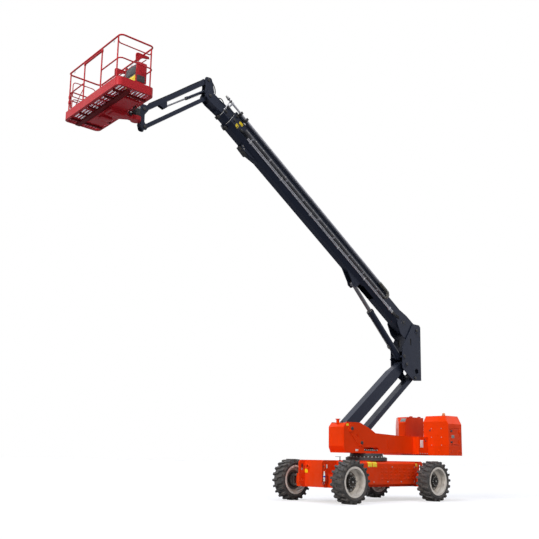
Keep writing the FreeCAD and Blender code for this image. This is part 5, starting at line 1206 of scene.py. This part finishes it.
class BOOMLIFT_OT_boom(bpy.types.Operator):
    """Wear pads, stickers, rest gusset, clips and bolts of the boom's sections"""
    bl_idname = "boomlift.boom"
    bl_label = "Boom fittings"

    def execute(self, context):
        sizes = context.scene.boomlift_sizes
        collar_pads("boom", "base_collar", 8.255, 0.190, 0.050, sizes.bolt)
        collar_pads("boom_mid", "mid_collar", 8.565, 0.172, 0.032, sizes.bolt * 0.9)
        piece("boom_stickers", [card(on_boom(8.060, 0.190, -0.085), BOOM_LEFT, (0.125, 0.080)),
                                card(on_boom(8.120, 0.190, -0.228), BOOM_LEFT, (0.090, 0.100)),
                                card(on_boom(8.060, -0.190, -0.100), BOOM_RIGHT, (0.120, 0.060))],
              "boom", "notice")
        piece("boom_cards", [card(on_boom(7.985, 0.190, 0.010), BOOM_LEFT, (0.070, 0.035)),
                             card(on_boom(5.200, -0.190, -0.120), BOOM_RIGHT, (0.600, 0.120))],
              "boom", "card")
        self.gusset(sizes.bolt)
        self.foot(sizes)
        self.shelf_bolts(sizes.bolt)
        self.reach_switch()
        self.rail(sizes.bolt)
        return {"FINISHED"}

    def rail(self, bolt):
        """Upstand along the boom's upper edge beside the silver tube, with its ribs and bolts, and
        thin bright tubes across the two collars as painted highlights of their edges."""
        strip = block((6.74, 0.100, 0.010), 0.012, 0.003)
        rib = slab(np.array([(-0.05, -0.045), (0.055, -0.045), (0.055, 0.045)]), 0.008)
        ribs = along_boom(row_of((1.55, 0.130, 0.095), (7.75, 0.130, 0.095), 9))
        piece("tube_rail", [placed(strip, on_boom(4.870, 0.1885, 0.080), BOOM_LEFT),
                            at_each(rib, ribs, BOOM_ALONG)], "boom", "slate")
        piece("rail_bolts", bolts_at(along_boom(row_of((1.70, 0.1985, 0.020), (7.60, 0.1985, 0.020),
                                                       16)),
                                     bolt * 0.8, 0.008, BOOM_LEFT), "boom", "dark")
        for body, name, u, half, low, high in (("boom", "base", 8.347, 0.190, -0.386, -0.080),
                                               ("boom_mid", "mid", 8.597, 0.151, -0.352, -0.085)):
            # Bright tube along the collar's edge: a painted edge highlight.
            path = bent(along_boom([(u, half * 0.55, low), (u, half - 0.008, low + 0.042),
                                    (u, half, low + 0.120), (u - 0.004, half, high)]), 0.02)
            piece(name + "_collar_highlight", [tube(path, 0.006, 8),
                                          plug(0.012, 0.012, path[-1], BOOM_LEFT)],
                  body, "bolt")

    def gusset(self, bolt):
        """Rest gusset under the boom's outer half: two cheeks, a web, a black sole and bolts."""
        outline = np.array([(7.020, -0.374), (7.700, -0.374), (7.700, -0.420), (7.640, -0.470),
                            (7.560, -0.490), (7.420, -0.470)])
        middle = outline.mean(axis=0)
        flat = slab(outline - middle, 0.012)
        plates = [placed(flat, on_boom(middle[0], v + 0.006, middle[1]), BOOM_RIGHT)
                  for v in (0.070, -0.082)]
        sole = block((0.300, 0.150, 0.014), 0.020, 0.003)
        plates.append(lump((0.620, 0.150, 0.012), 0.006, 0.002, on_boom(7.300, 0, -0.436),
                           arm_axes(BOOM_ANGLE - 12.5)))
        piece("rest_gusset", plates, "boom", "slate")
        piece("rest_sole", [placed(sole, on_boom(7.560, 0, -0.503), arm_axes(BOOM_ANGLE + 5.0))],
              "boom", "moulding")
        ends = along_boom([[7.640, 0.082, -0.405], [7.580, 0.082, -0.445]])
        piece("rest_bolts", bolts_at(ends, bolt, 0.010, BOOM_LEFT), "boom", "bolt")

    def foot(self, sizes):
        """Round bolted covers near the boom's foot, and the side tubes' nuts and hoses."""
        bolts = []
        for side, axes in BOOM_SIDES:
            face = on_boom(0.560, side * 0.192, -0.150)
            bolts += bolts_at(ring_of(face, 0.090, 6, axes), sizes.bolt, 0.010, axes)
            bolts.append(plug(0.050, 0.012, face, axes))
        piece("foot_cover", bolts, "boom", "dark")
        hoses = []
        for k, w in enumerate((-0.232, -0.276)):
            path = eased(along_boom([(1.160, 0.216, w), (1.060, 0.217, w),
                                     (0.960, 0.226, w + 0.010), (0.860, 0.222, w + 0.050),
                                     (0.800 - 0.03 * k, 0.186, w + 0.080)]))
            hoses.append(tube(path, sizes.hose, 12))
        piece("foot_hoses", hoses, "boom", "hose")
        nuts = [placed(turned([(0, 0), (0.024, 0), (0.024, 0.030), (0.019, 0.034), (0, 0.034)], 6),
                       on_boom(1.120, 0.216, w), BOOM_ALONG)
                for w in (-0.232, -0.276)]
        piece("tube_nuts", nuts, "boom", "bolt")

    def shelf_bolts(self, bolt):
        """Bolts and brackets along the chain's shelf, and bolts on the side tubes' clamps."""
        lip = along_boom(row_of((1.80, 0.305, -0.176), (7.80, 0.305, -0.176), 21))
        clamps = [(1.27 + i * (6.32 / 5), 0.238, w) for i in range(6)
                  for w in (-0.218, -0.254, -0.290)]
        piece("shelf_bolts", bolts_at(lip, bolt * 0.8, 0.008, BOOM_LEFT)
              + bolts_at(along_boom(clamps), bolt * 0.7, 0.007, BOOM_LEFT), "boom", "bolt")
        brackets = block((0.040, 0.060, 0.008), 0.006, 0.002)
        under = along_boom(row_of((2.00, 0.2475, -0.206), (7.60, 0.2475, -0.206), 9))
        piece("shelf_brackets", [at_each(brackets * [1.0, 1.8, 1.0], under, BOOM_AXES)], "boom",
              "zinc")

    def reach_switch(self):
        """Reach switch near the collar, with its roller arm and lead."""
        body = block((0.090, 0.050, 0.045), 0.008, 0.004)
        arm = tube(bent(along_boom([(7.985, 0.205, -0.235), (8.050, 0.222, -0.245),
                                    (8.120, 0.222, -0.265)]),
                        0.015), 0.006, 8)
        piece("reach_switch", [placed(body, on_boom(7.950, 0.190, -0.235), BOOM_LEFT), arm], "boom",
              "moulding")
        hose = eased(along_boom([(7.890, 0.208, -0.235), (7.800, 0.208, -0.240),
                                 (7.740, 0.204, -0.232), (7.715, 0.203, -0.232)]))
        piece("switch_lead", [tube(hose, 0.006, 8)], "boom", "hose")


class BOOMLIFT_OT_chain(bpy.types.Operator):
    """Link pins, brackets and collars of the energy chain and its tube"""
    bl_idname = "boomlift.chain"
    bl_label = "Energy chain fittings"

    def execute(self, context):
        y, half = 0.2495, 0.039
        low, reach, start, pitch = -0.162, 0.110, 1.670, 0.072
        places = [(start + (i + 0.5) * pitch, w) for run, w in ((30, low), (5, low + 2 * reach))
                  for i in range(run)]
        a = (np.arange(4) + 0.5) / 4 * math.pi
        places += list(zip(start - reach * np.sin(a), low + reach - reach * np.cos(a)))
        flat = np.array(places)
        rivet = turned([(0, -0.001), (0.0095, -0.001), (0.0095, 0.0012), (0.007, 0.0024),
                        (0, 0.0028)], 12)
        made = []
        for side, axes in BOOM_SIDES:
            spots = np.column_stack([flat[:, 0], np.full(len(flat), y + side * half), flat[:, 1]])
            made.append(at_each(rivet, along_boom(spots), axes))
        piece("chain_rivets", made, "boom_mid", "chain")
        bar = block((0.012, 0.058, 0.004), 0.004, 0.001)
        tops = np.array([(u, y, w + 0.0258) for u, w in places[:35]])
        piece("chain_bars", [at_each(bar, along_boom(tops), BOOM_AXES)], "boom_mid", "chain")
        self.collars()
        return {"FINISHED"}

    def collars(self):
        """Collars on the silver tube, its end fitting and the bracket that carries it."""
        ring = band([(0.0255, 0), (0.038, 0), (0.040, 0.003), (0.040, 0.027), (0.038, 0.030),
                     (0.0255, 0.030)], 24)
        piece("tube_collars", [placed(ring, on_boom(u, 0.2535, 0.070), BOOM_ALONG)
                               for u in (8.620, 8.700)],
              "boom_mid", "dark")
        fitting = turned([(0, 0), (0.030, 0), (0.032, 0.004), (0.032, 0.030), (0.022, 0.036),
                          (0.022, 0.060), (0, 0.060)], 20)
        piece("tube_end", [placed(fitting, on_boom(8.755, 0.2535, 0.070), BOOM_ALONG)], "boom_mid",
              "bolt")
        bracket = bent(along_boom([(8.612, 0.150, -0.150), (8.625, 0.190, -0.070),
                                   (8.640, 0.235, 0.020), (8.655, 0.2535, 0.048)]), 0.03)
        piece("tube_bracket", [tube(bracket, 0.013, 10),
                               plug(0.024, 0.016, on_boom(8.612, 0.144, -0.152), BOOM_LEFT)],
              "boom_mid", "zinc")


class BOOMLIFT_OT_cylinders(bpy.types.Operator):
    """Glands, ports, hard lines and valve blocks of the lift and jib cylinders"""
    bl_idname = "boomlift.cylinders"
    bl_label = "Cylinder fittings"

    def execute(self, context):
        sizes = context.scene.boomlift_sizes
        self.dress("lift", LIFT_BASE, LIFT_AXES, 0.095, 1.700, 0.103, 0.055, sizes)
        lug = on_jib(1.600, 0, -0.140)
        base = JIB_HUB + [0.040, 0, 0.175]
        way = lug - base
        self.dress("jib", base, arm_axes(math.degrees(math.atan2(way[2], way[0]))), 0.032, 0.720,
                   0.040, 0.020, sizes)
        return {"FINISHED"}

    def dress(self, name, base, axes, radius, length, head, rod, sizes):
        """Gland ring with bolts, two ports, a line along the barrel and a valve block."""
        forward = np.array([axes[1], axes[2], axes[0]])
        body = name + "_cylinder"

        def at(u, v, w):
            return base + [u, v, w] @ axes

        scale = radius / 0.095
        gland = band([(rod + 0.0012, 0), (head * 0.90, 0), (head * 0.92, 0.006),
                      (head * 0.86, 0.014), (rod + 0.010, 0.016), (rod + 0.0012, 0.016)], 32)
        bolts = bolts_at(ring_of(at(length + 0.006, 0, 0), (rod + head) * 0.52, 8, forward),
                         sizes.bolt * max(scale, 0.55) * 0.75, 0.012, forward)
        piece(name + "_gland", [placed(gland, at(length - 0.0005, 0, 0), forward)], body, "dark")
        piece(name + "_gland_bolts", bolts, body, "bolt")
        down = -radius - 0.020 * scale
        line = bent([at(length - 0.09, 0, -head + 0.004), at(length - 0.09, 0, down),
                     at(length * 0.32, 0, down), at(length * 0.32, 0, -radius + 0.004)],
                    0.03 * scale)
        piece(name + "_line", [tube(line, sizes.line * max(scale, 0.6), 10)], body, "bolt")
        boss = block((0.110 * scale, 0.075 * scale, 0.040 * scale), 0.012 * scale, 0.004 * scale)
        below = np.array([axes[0], -axes[1], -axes[2]])
        piece(name + "_valve", [placed(boss, at(length * 0.27, 0, -radius + 0.006), below),
                                placed(boss * 0.6, at(length - 0.09, 0, -head + 0.006), below)],
              body, "dark")
        low = -radius + 0.005 - 0.040 * scale
        piece(name + "_valve_plugs", [plug(0.016 * scale, 0.020 * scale,
                                           at(length * 0.27 + k * 0.030 * scale, 0, low), below)
                                      for k in (-1, 1)], body, "bolt")


class BOOMLIFT_OT_jib(bpy.types.Operator):
    """Pin heads, clipped hoses, actuator bolts and ports of the jib"""
    bl_idname = "boomlift.jib"
    bl_label = "Jib fittings"

    def execute(self, context):
        sizes = context.scene.boomlift_sizes
        head = turned([(0, 0), (0.040, 0), (0.040, 0.007), (0.036, 0.010), (0.014, 0.011),
                       (0, 0.009)], 22)
        end = JIB_HUB + JIB_SPAN * JIB_AXES[0]
        for name, body, pivots, reach in (
                ("jib_base_pins", "jib_base", (JIB_TOP,), 0.087),
                ("jib_head_pins", "jib_head", (end, end + [0.030, 0, 0.420]), 0.087),
                ("hub_pin", "boom_fly", (JIB_HUB,), 0.138)):
            piece(name, mirrored([placed(head, pivot + [0, reach, 0], LEFT) for pivot in pivots]),
                  body, "dark")
        self.lines(sizes)
        self.actuator(end)
        return {"FINISHED"}

    def lines(self, sizes):
        """Hoses along the jib's upper bar, round its inner end and off the boom's nose."""
        clips, hoses = [], []
        for y in (-0.030, -0.002, 0.026):
            path = [on_jib(0.10, y, 0.066), on_jib(0.60, y, 0.070), on_jib(1.20, y, 0.066),
                    on_jib(1.95, y, 0.070)]
            hoses.append(tube(eased(path), sizes.hose * 0.8, 10))
        for u in (0.16, 0.62, 1.10, 1.58, 1.92):
            clips.append(lump((0.030, 0.100, 0.020), 0.006, 0.003, on_jib(u, -0.002, 0.054),
                              JIB_AXES))
        piece("jib_hoses", hoses, "jib_beam", "hose")
        piece("jib_clips", clips, "jib_beam", "dark")
        loops = []
        for y, out in ((0.096, 0.055), (-0.096, 0.040)):
            start = JIB_HUB + [-0.075, y, -0.010]
            loops.append(tube(eased([start, start + [-0.030 - out, 0, 0.120],
                                     start + [-0.020 - out, 0, 0.260],
                                     start + [0.000 - out * 0.3, -y * 0.25, 0.400],
                                     JIB_TOP + [-0.050, y * 0.55, 0.066]]), sizes.hose, 12))
        piece("jib_base_hoses", loops, "jib_base", "hose")
        line = ((8.700, -0.020), (8.765, 0.010), (8.830, 0.010), (8.890, -0.040))
        nose = [tube(eased([on_boom(u, y, w) for u, w in line]), sizes.hose, 12)
                for y in (0.108, -0.108)]
        piece("nose_hoses", nose, "boom_fly", "hose")

    def actuator(self, end):
        """Bolts, ribs and ports round the platform's rotary actuator."""
        middle = np.array([end[0] + 0.030 + 0.166, 0, 8.9805])
        piece("actuator_bolts", bolts_at(ring_of(middle, 0.082, 12, LEVEL), 0.010, 0.012, LEVEL)
              + [plug(0.034, 0.014, middle)], "jib_head", "bolt")
        rib = band([(0.1045, 0), (0.110, 0.002), (0.110, 0.016), (0.1045, 0.018)], 36)
        piece("actuator_ribs", [placed(rib, (middle[0], 0, z)) for z in (8.640, 8.925, 8.952)],
              "jib_head", "dark")
        port = block((0.070, 0.060, 0.026), 0.008, 0.003)
        piece("actuator_ports", [placed(port, (middle[0] - 0.010, 0.096, 8.800), LEFT),
                                 *(plug(0.014, 0.018, (middle[0] + shift, 0.121, 8.800), LEFT)
                                   for shift in (-0.028, 0.010))],
              "jib_head", "bolt")


# ---------------------------------------------------------------- platform
PLAT = {"x0": 7.715, "x1": 8.605, "y0": -1.380, "y1": 1.080, "z": 8.640, "top": 9.790, "mid": 9.270}


class BOOMLIFT_OT_platform(bpy.types.Operator):
    """Mesh, toe board bolts, rings, latch and hoses of the platform"""
    bl_idname = "boomlift.platform"
    bl_label = "Platform fittings"

    def execute(self, context):
        sizes = context.scene.boomlift_sizes
        self.mesh(sizes.mesh_pitch, sizes.mesh_wire)
        self.bolts(sizes.bolt * 0.7)
        self.rings()
        self.hoses(sizes)
        self.foot_switch()
        self.far_end()
        self.under()
        return {"FINISHED"}

    def far_end(self):
        """Two bent grab loops and a slanted rod inside the far end of the cage."""
        y, floor, made = PLAT["y0"] + 0.085, PLAT["z"], []
        for low, high, shift in ((0.62, 0.98, 0.0), (0.30, 0.56, 0.05)):
            path = [(8.470, y, floor + low), (8.470, y, floor + high),
                    (7.900 + shift, y, floor + high),
                    (7.900 + shift, y, floor + low), (8.470, y, floor + low + 0.001)]
            made.append(tube(bent(path, 0.090), 0.011, 12))
        made.append(tube(bent([(8.520, y - 0.010, 8.700), (8.430, y, 8.900), (8.300, y, 9.300),
                               (8.180, y, 9.620)], 0.08), 0.009, 10))
        piece("end_loops", made, "platform", "cage")

    def under(self):
        """Channels under the floor: one long one and its cross members."""
        z, made = PLAT["z"] - 0.002, []
        made.append(lump((2.30, 0.110, 0.050), 0.010, 0.004, (8.300, -0.150, z), BELOW))
        for y in (-1.10, -0.70, -0.30, 0.42, 0.80):
            made.append(lump((0.045, 0.780, 0.036), 0.008, 0.003, (8.160, y, z), BELOW))
        # Their finish is the platform paint darkened: painted shade under the floor.
        piece("floor_channels", made, "platform", "under")

    def mesh(self, pitch, wire):
        """Floor mesh: flat crossed strands from edge to edge, each a four sided bar."""
        x0, x1 = PLAT["x0"] + 0.012, PLAT["x1"] - 0.012
        y0, y1 = PLAT["y0"] + 0.012, PLAT["y1"] - 0.012
        z = PLAT["z"] + 0.0305
        made = []
        xs = np.arange(x0 + 0.10, x1 - 0.10, pitch)
        ys = np.arange(y0 + 0.10, y1 - 0.10, pitch)
        bar = tube([(0, y0, z), (0, y1, z)], wire, 4)
        made.append(at_each(bar, np.column_stack([xs, np.zeros(len(xs)), np.zeros(len(xs))])))
        bar = tube([(x0, 0, z + wire * 0.6), (x1, 0, z + wire * 0.6)], wire, 4)
        made.append(at_each(bar, np.column_stack([np.zeros(len(ys)), ys, np.zeros(len(ys))])))
        piece("floor_mesh", made, "platform", "mesh")

    def bolts(self, bolt):
        """Small bolts along the toe board, with their heads on its inner face."""
        board = 0.008
        x0, y0 = PLAT["x0"] + board, PLAT["y0"] + board
        x1, y1 = PLAT["x1"] - board, PLAT["y1"] - board
        z = PLAT["z"] + 0.155
        rows = [(ASTERN, row_of((x1, y0 + 0.18, z), (x1, y1 - 0.18, z), 8)),
                (AHEAD, row_of((x0, y0 + 0.18, z), (x0, y1 - 0.18, z), 8)),
                (RIGHT, row_of((x0 + 0.18, y1, z), (x1 - 0.18, y1, z), 3)),
                (LEFT, row_of((x0 + 0.18, y0, z), (x1 - 0.18, y0, z), 3))]
        piece("toe_bolts", sum((bolts_at(places - 0.0008 * axes[2], bolt, 0.006, axes)
                                for axes, places in rows), []), "platform", "bolt")

    def rings(self):
        """Anchor rings under the top rail, collars at the posts' feet and the gate's latch."""
        xi, xo = PLAT["x0"] + 0.040, PLAT["x1"] - 0.040
        ya, yb = PLAT["y0"] + 0.045, PLAT["y1"] - 0.045
        spots = [(xi, -0.60), (xi, 0.10), (xo, -1.05), (xo, 0.75)]
        made = [placed(hoop(0.026, 0.005), (x, y, PLAT["top"] - 0.046), AHEAD) for x, y in spots]
        piece("anchor_rings", made, "platform", "zinc")
        collar = band([(0.0155, 0), (0.026, 0), (0.028, 0.003), (0.028, 0.022), (0.026, 0.025),
                       (0.0155, 0.025)], 20)
        posts = [(xi, ya + 0.10), (xo, ya + 0.10), (xi, yb - 0.10), (xo, yb - 0.10),
                 (xo, ya + (yb - ya) / 3), (xo, ya + 2 * (yb - ya) / 3), (xi, (ya + yb) / 2)]
        made = [at_each(collar, np.array([(x, y, PLAT["z"] + 0.0363) for x, y in posts]))]
        piece("post_collars", made, "platform", "cage")
        latch = block((0.050, 0.036, 0.070), 0.008, 0.004)
        piece("gate_latch", [placed(latch, (xi + 0.058, ya + 0.100, PLAT["z"] + 0.50))],
              "platform_gate", "moulding")

    def hoses(self, sizes):
        """Hoses from the arm under the floor up to the console, and the arm's red covers."""
        x0 = PLAT["x0"]
        made = []
        for k, y in enumerate((0.200, 0.230, 0.260)):
            path = bent([(x0 - 0.040, 0.050 + 0.020 * k, 8.585 - 0.01 * k), (x0 + 0.110, y, 8.560),
                         (x0 + 0.110, 0.420 + 0.03 * k, 8.560),
                         (x0 + 0.110, 0.420 + 0.03 * k, 9.152)], 0.05)
            made.append(tube(path, sizes.hose * 0.8, 10))
        piece("console_hoses", made, "platform", "hose")
        piece("arm_cover", [lump((0.300, 0.260, 0.030), 0.040, 0.008, (x0 + 0.300, 0, 8.482)),
                            lump((0.260, 0.180, 0.055), 0.020, 0.008, (x0 + 0.335, -0.430, 8.527))],
              "platform", "cage")

    def foot_switch(self):
        """Foot switch on the floor under the console."""
        z = PLAT["z"] + 0.037
        base = block((0.170, 0.120, 0.022), 0.020, 0.005)
        pedal = block((0.120, 0.080, 0.018), 0.014, 0.005)
        hood = slab(rounded_outline(0.085, 0.060, 0.045), 0.008, 0.003)
        piece("foot_switch", [placed(base, (8.150, 0.430, z)),
                              placed(pedal, (8.160, 0.430, z + 0.022)),
                              placed(hood, (8.140, 0.430, z + 0.075))]
              + [placed(turned([(0, 0), (0.006, 0), (0.006, 0.056), (0, 0.056)], 8),
                        (8.100, y, z + 0.018))
                 for y in (0.385, 0.475)], "platform", "moulding")


class BOOMLIFT_OT_console(bpy.types.Operator):
    """Levers, switches, guards and panels of the platform's console"""
    bl_idname = "boomlift.console"
    bl_label = "Console fittings"

    def execute(self, context):
        slope = facing((0.130, 0, 0.200))
        middle = np.array([7.930, 0.525, PLAT["mid"] + 0.1255])
        self.levers(middle, slope)
        self.switches(middle, slope)
        self.guards()
        return {"FINISHED"}

    def levers(self, middle, slope):
        """Two levers: a pleated boot r = 0.030 - 0.55 h + ripple, a stem and a knob."""
        h = np.linspace(0, 0.034, 15)
        boot = np.column_stack([0.030 - 0.55 * h + 0.0025 * np.sin(h * 900), h])
        boot = np.concatenate([[(0, 0)], boot, [(0, 0.034)]])
        stick = [(0, 0.030), (0.007, 0.030), (0.006, 0.075), (0.016, 0.082), (0.021, 0.100),
                 (0.019, 0.122), (0.010, 0.134), (0, 0.136)]
        made = []
        for shift in (-0.200, 0.200):
            place = middle + [0, shift, 0]
            made += [placed(turned(boot, 24), place, slope),
                     placed(turned(stick, 20), place, slope)]
        piece("console_levers", made, "platform", "moulding")

    def switches(self, middle, slope):
        """Toggle switches and the stop knob on its yellow disc."""
        toggle = [turned([(0, 0), (0.010, 0), (0.010, 0.004), (0.006, 0.006), (0, 0.006)], 12),
                  turned([(0, 0.004), (0.003, 0.004), (0.004, 0.020), (0.0025, 0.024), (0, 0.025)],
                         10)]
        places = np.array([middle + [0, y, 0] + x * slope[0]
                           for x in (-0.045, 0.045)
                           for y in (-0.120, -0.080, -0.040, 0.000, 0.040)])
        piece("console_switches", [at_each(part, places, slope) for part in toggle], "platform",
              "bolt")
        stop = middle + [0, 0.105, 0]
        disc = turned([(0, 0), (0.032, 0), (0.032, 0.003), (0, 0.003)], 28)
        piece("stop_disc", [placed(disc, stop, slope)], "platform", "notice")
        knob = turned([(0, 0.002), (0.012, 0.002), (0.012, 0.014), (0.022, 0.018), (0.023, 0.026),
                       (0.016, 0.034), (0, 0.037)], 24)
        piece("stop_knob", [placed(knob, stop, slope)], "platform", "red_cap")

    def guards(self):
        """Red hand guards at both ends of the console, its red case with black plates as painted
        shade in its hollows, the grey and yellow panels on its front and a bent grab bar."""
        mid = PLAT["mid"]
        outline = np.array([(-0.185, 0.055), (-0.170, 0.100), (0.150, 0.105), (0.185, 0.075),
                            (0.190, -0.060),
                            (0.160, -0.100), (0.115, -0.095), (0.060, -0.020), (-0.020, 0.030),
                            (-0.110, 0.035)]) * [0.9, 1.0]
        upright_axes = np.array([[1.0, 0, 0], [0, 0, 1], [0, -1, 0]])
        rim = np.array([(0.162, -0.085), (0.167, 0.070), (0.126, 0.100), (-0.148, 0.095)])
        hand_x, hand_z, case_x = 7.885, mid + 0.290, 7.905
        hands = []
        for y in (-0.100, 0.805):
            hands.append(placed(slab(outline, 0.012, 0.004), (hand_x, y, hand_z), upright_axes))
            path = np.column_stack([hand_x + rim[:, 0], np.full(4, y), hand_z + rim[:, 1]])
            hands.append(tube(bent(path, 0.030), 0.013, 12))
        piece("hand_guards", hands, "platform", "cage")
        grab = bent([(8.020, -0.100, mid + 0.215), (8.020, 0.020, mid + 0.150),
                     (8.010, 0.330, mid + 0.160), (7.880, 0.380, mid + 0.300),
                     (7.790, 0.560, mid + 0.320), (7.800, 0.805, mid + 0.300)], 0.060)
        piece("console_grab_bar", [tube(grab, 0.011, 12)], "platform", "cage")
        side = slab(np.array([(-0.130, -0.265), (0.110, -0.330), (0.135, -0.300), (0.135, 0.175),
                              (0.060, 0.200), (-0.130, 0.200)]), 0.008)
        case = [placed(side, (case_x, y, mid), upright_axes) for y in (0.372, 0.806)]
        case += [lump((0.245, 0.420, 0.008), 0.010, 0.002, (7.900, 0.588, mid - 0.300)),
                 lump((0.420, 0.215, 0.006), 0.010, 0.002, (8.0325, 0.588, mid - 0.222), AHEAD)]
        piece("console_case", case, "platform", "cage")
        # Thin black plates on the case sides: painted shade standing for the hollows.
        shade_plate = block((0.200, 0.150, 0.004), 0.020, 0.001)
        piece("console_hollow_shade", [placed(shade_plate, (case_x + 0.010, 0.811, mid - 0.185), LEFT),
                                 placed(shade_plate, (case_x - 0.010, 0.367, mid - 0.185), RIGHT)],
              "platform", "moulding")
        piece("console_sticker", [card((8.0388, 0.588, mid - 0.217), AHEAD, (0.400, 0.200))],
              "platform", "notice")
        piece("console_front", [lump((0.400, 0.190, 0.005), 0.012, 0.002,
                                     (8.0335, 0.588, mid + 0.030), AHEAD)]
              + bolts_at([(8.0385, y, mid + z) for y in (0.405, 0.771) for z in (-0.045, 0.105)],
                         0.007, 0.006, AHEAD), "platform", "console")


class BOOMLIFT_PT_panel(bpy.types.Panel):
    """Buttons and values of the boom lift's looks"""
    bl_idname = "BOOMLIFT_PT_panel"
    bl_label = "Boom lift"
    bl_space_type = "VIEW_3D"
    bl_region_type = "UI"
    bl_category = "Boom lift"

    def draw(self, context):
        layout = self.layout
        for operator in OPERATORS:
            layout.operator(operator.bl_idname)
        for values in (context.scene.boomlift_colours, context.scene.boomlift_sizes,
                       context.scene.boomlift_stage):
            for key in values.bl_rna.properties.keys():
                if key not in ("name", "rna_type"):
                    layout.prop(values, key)


GROUPS = (BOOMLIFT_PG_colours, BOOMLIFT_PG_sizes, BOOMLIFT_PG_stage)
OPERATORS = (BOOMLIFT_OT_stage, BOOMLIFT_OT_finishes, BOOMLIFT_OT_wheels, BOOMLIFT_OT_chassis,
             BOOMLIFT_OT_pins, BOOMLIFT_OT_turntable, BOOMLIFT_OT_tail, BOOMLIFT_OT_engine,
             BOOMLIFT_OT_boom, BOOMLIFT_OT_chain, BOOMLIFT_OT_cylinders, BOOMLIFT_OT_jib,
             BOOMLIFT_OT_platform, BOOMLIFT_OT_console)
CLASSES = GROUPS + OPERATORS + (BOOMLIFT_PT_panel,)


def register():
    """Register the classes and hang the values on the scene."""
    for made in CLASSES:
        bpy.utils.register_class(made)
    for name, group in zip(("colours", "sizes", "stage"), GROUPS):
        setattr(bpy.types.Scene, "boomlift_" + name, bpy.props.PointerProperty(type=group))


def unregister():
    """Undo register()."""
    for name in ("colours", "sizes", "stage"):
        delattr(bpy.types.Scene, "boomlift_" + name)
    for made in reversed(CLASSES):
        bpy.utils.unregister_class(made)


def main():
    """Run every step in order."""
    register()
    for operator in OPERATORS:
        group, name = operator.bl_idname.split(".")
        getattr(getattr(bpy.ops, group), name)()


if __name__ == "__main__":
    main()
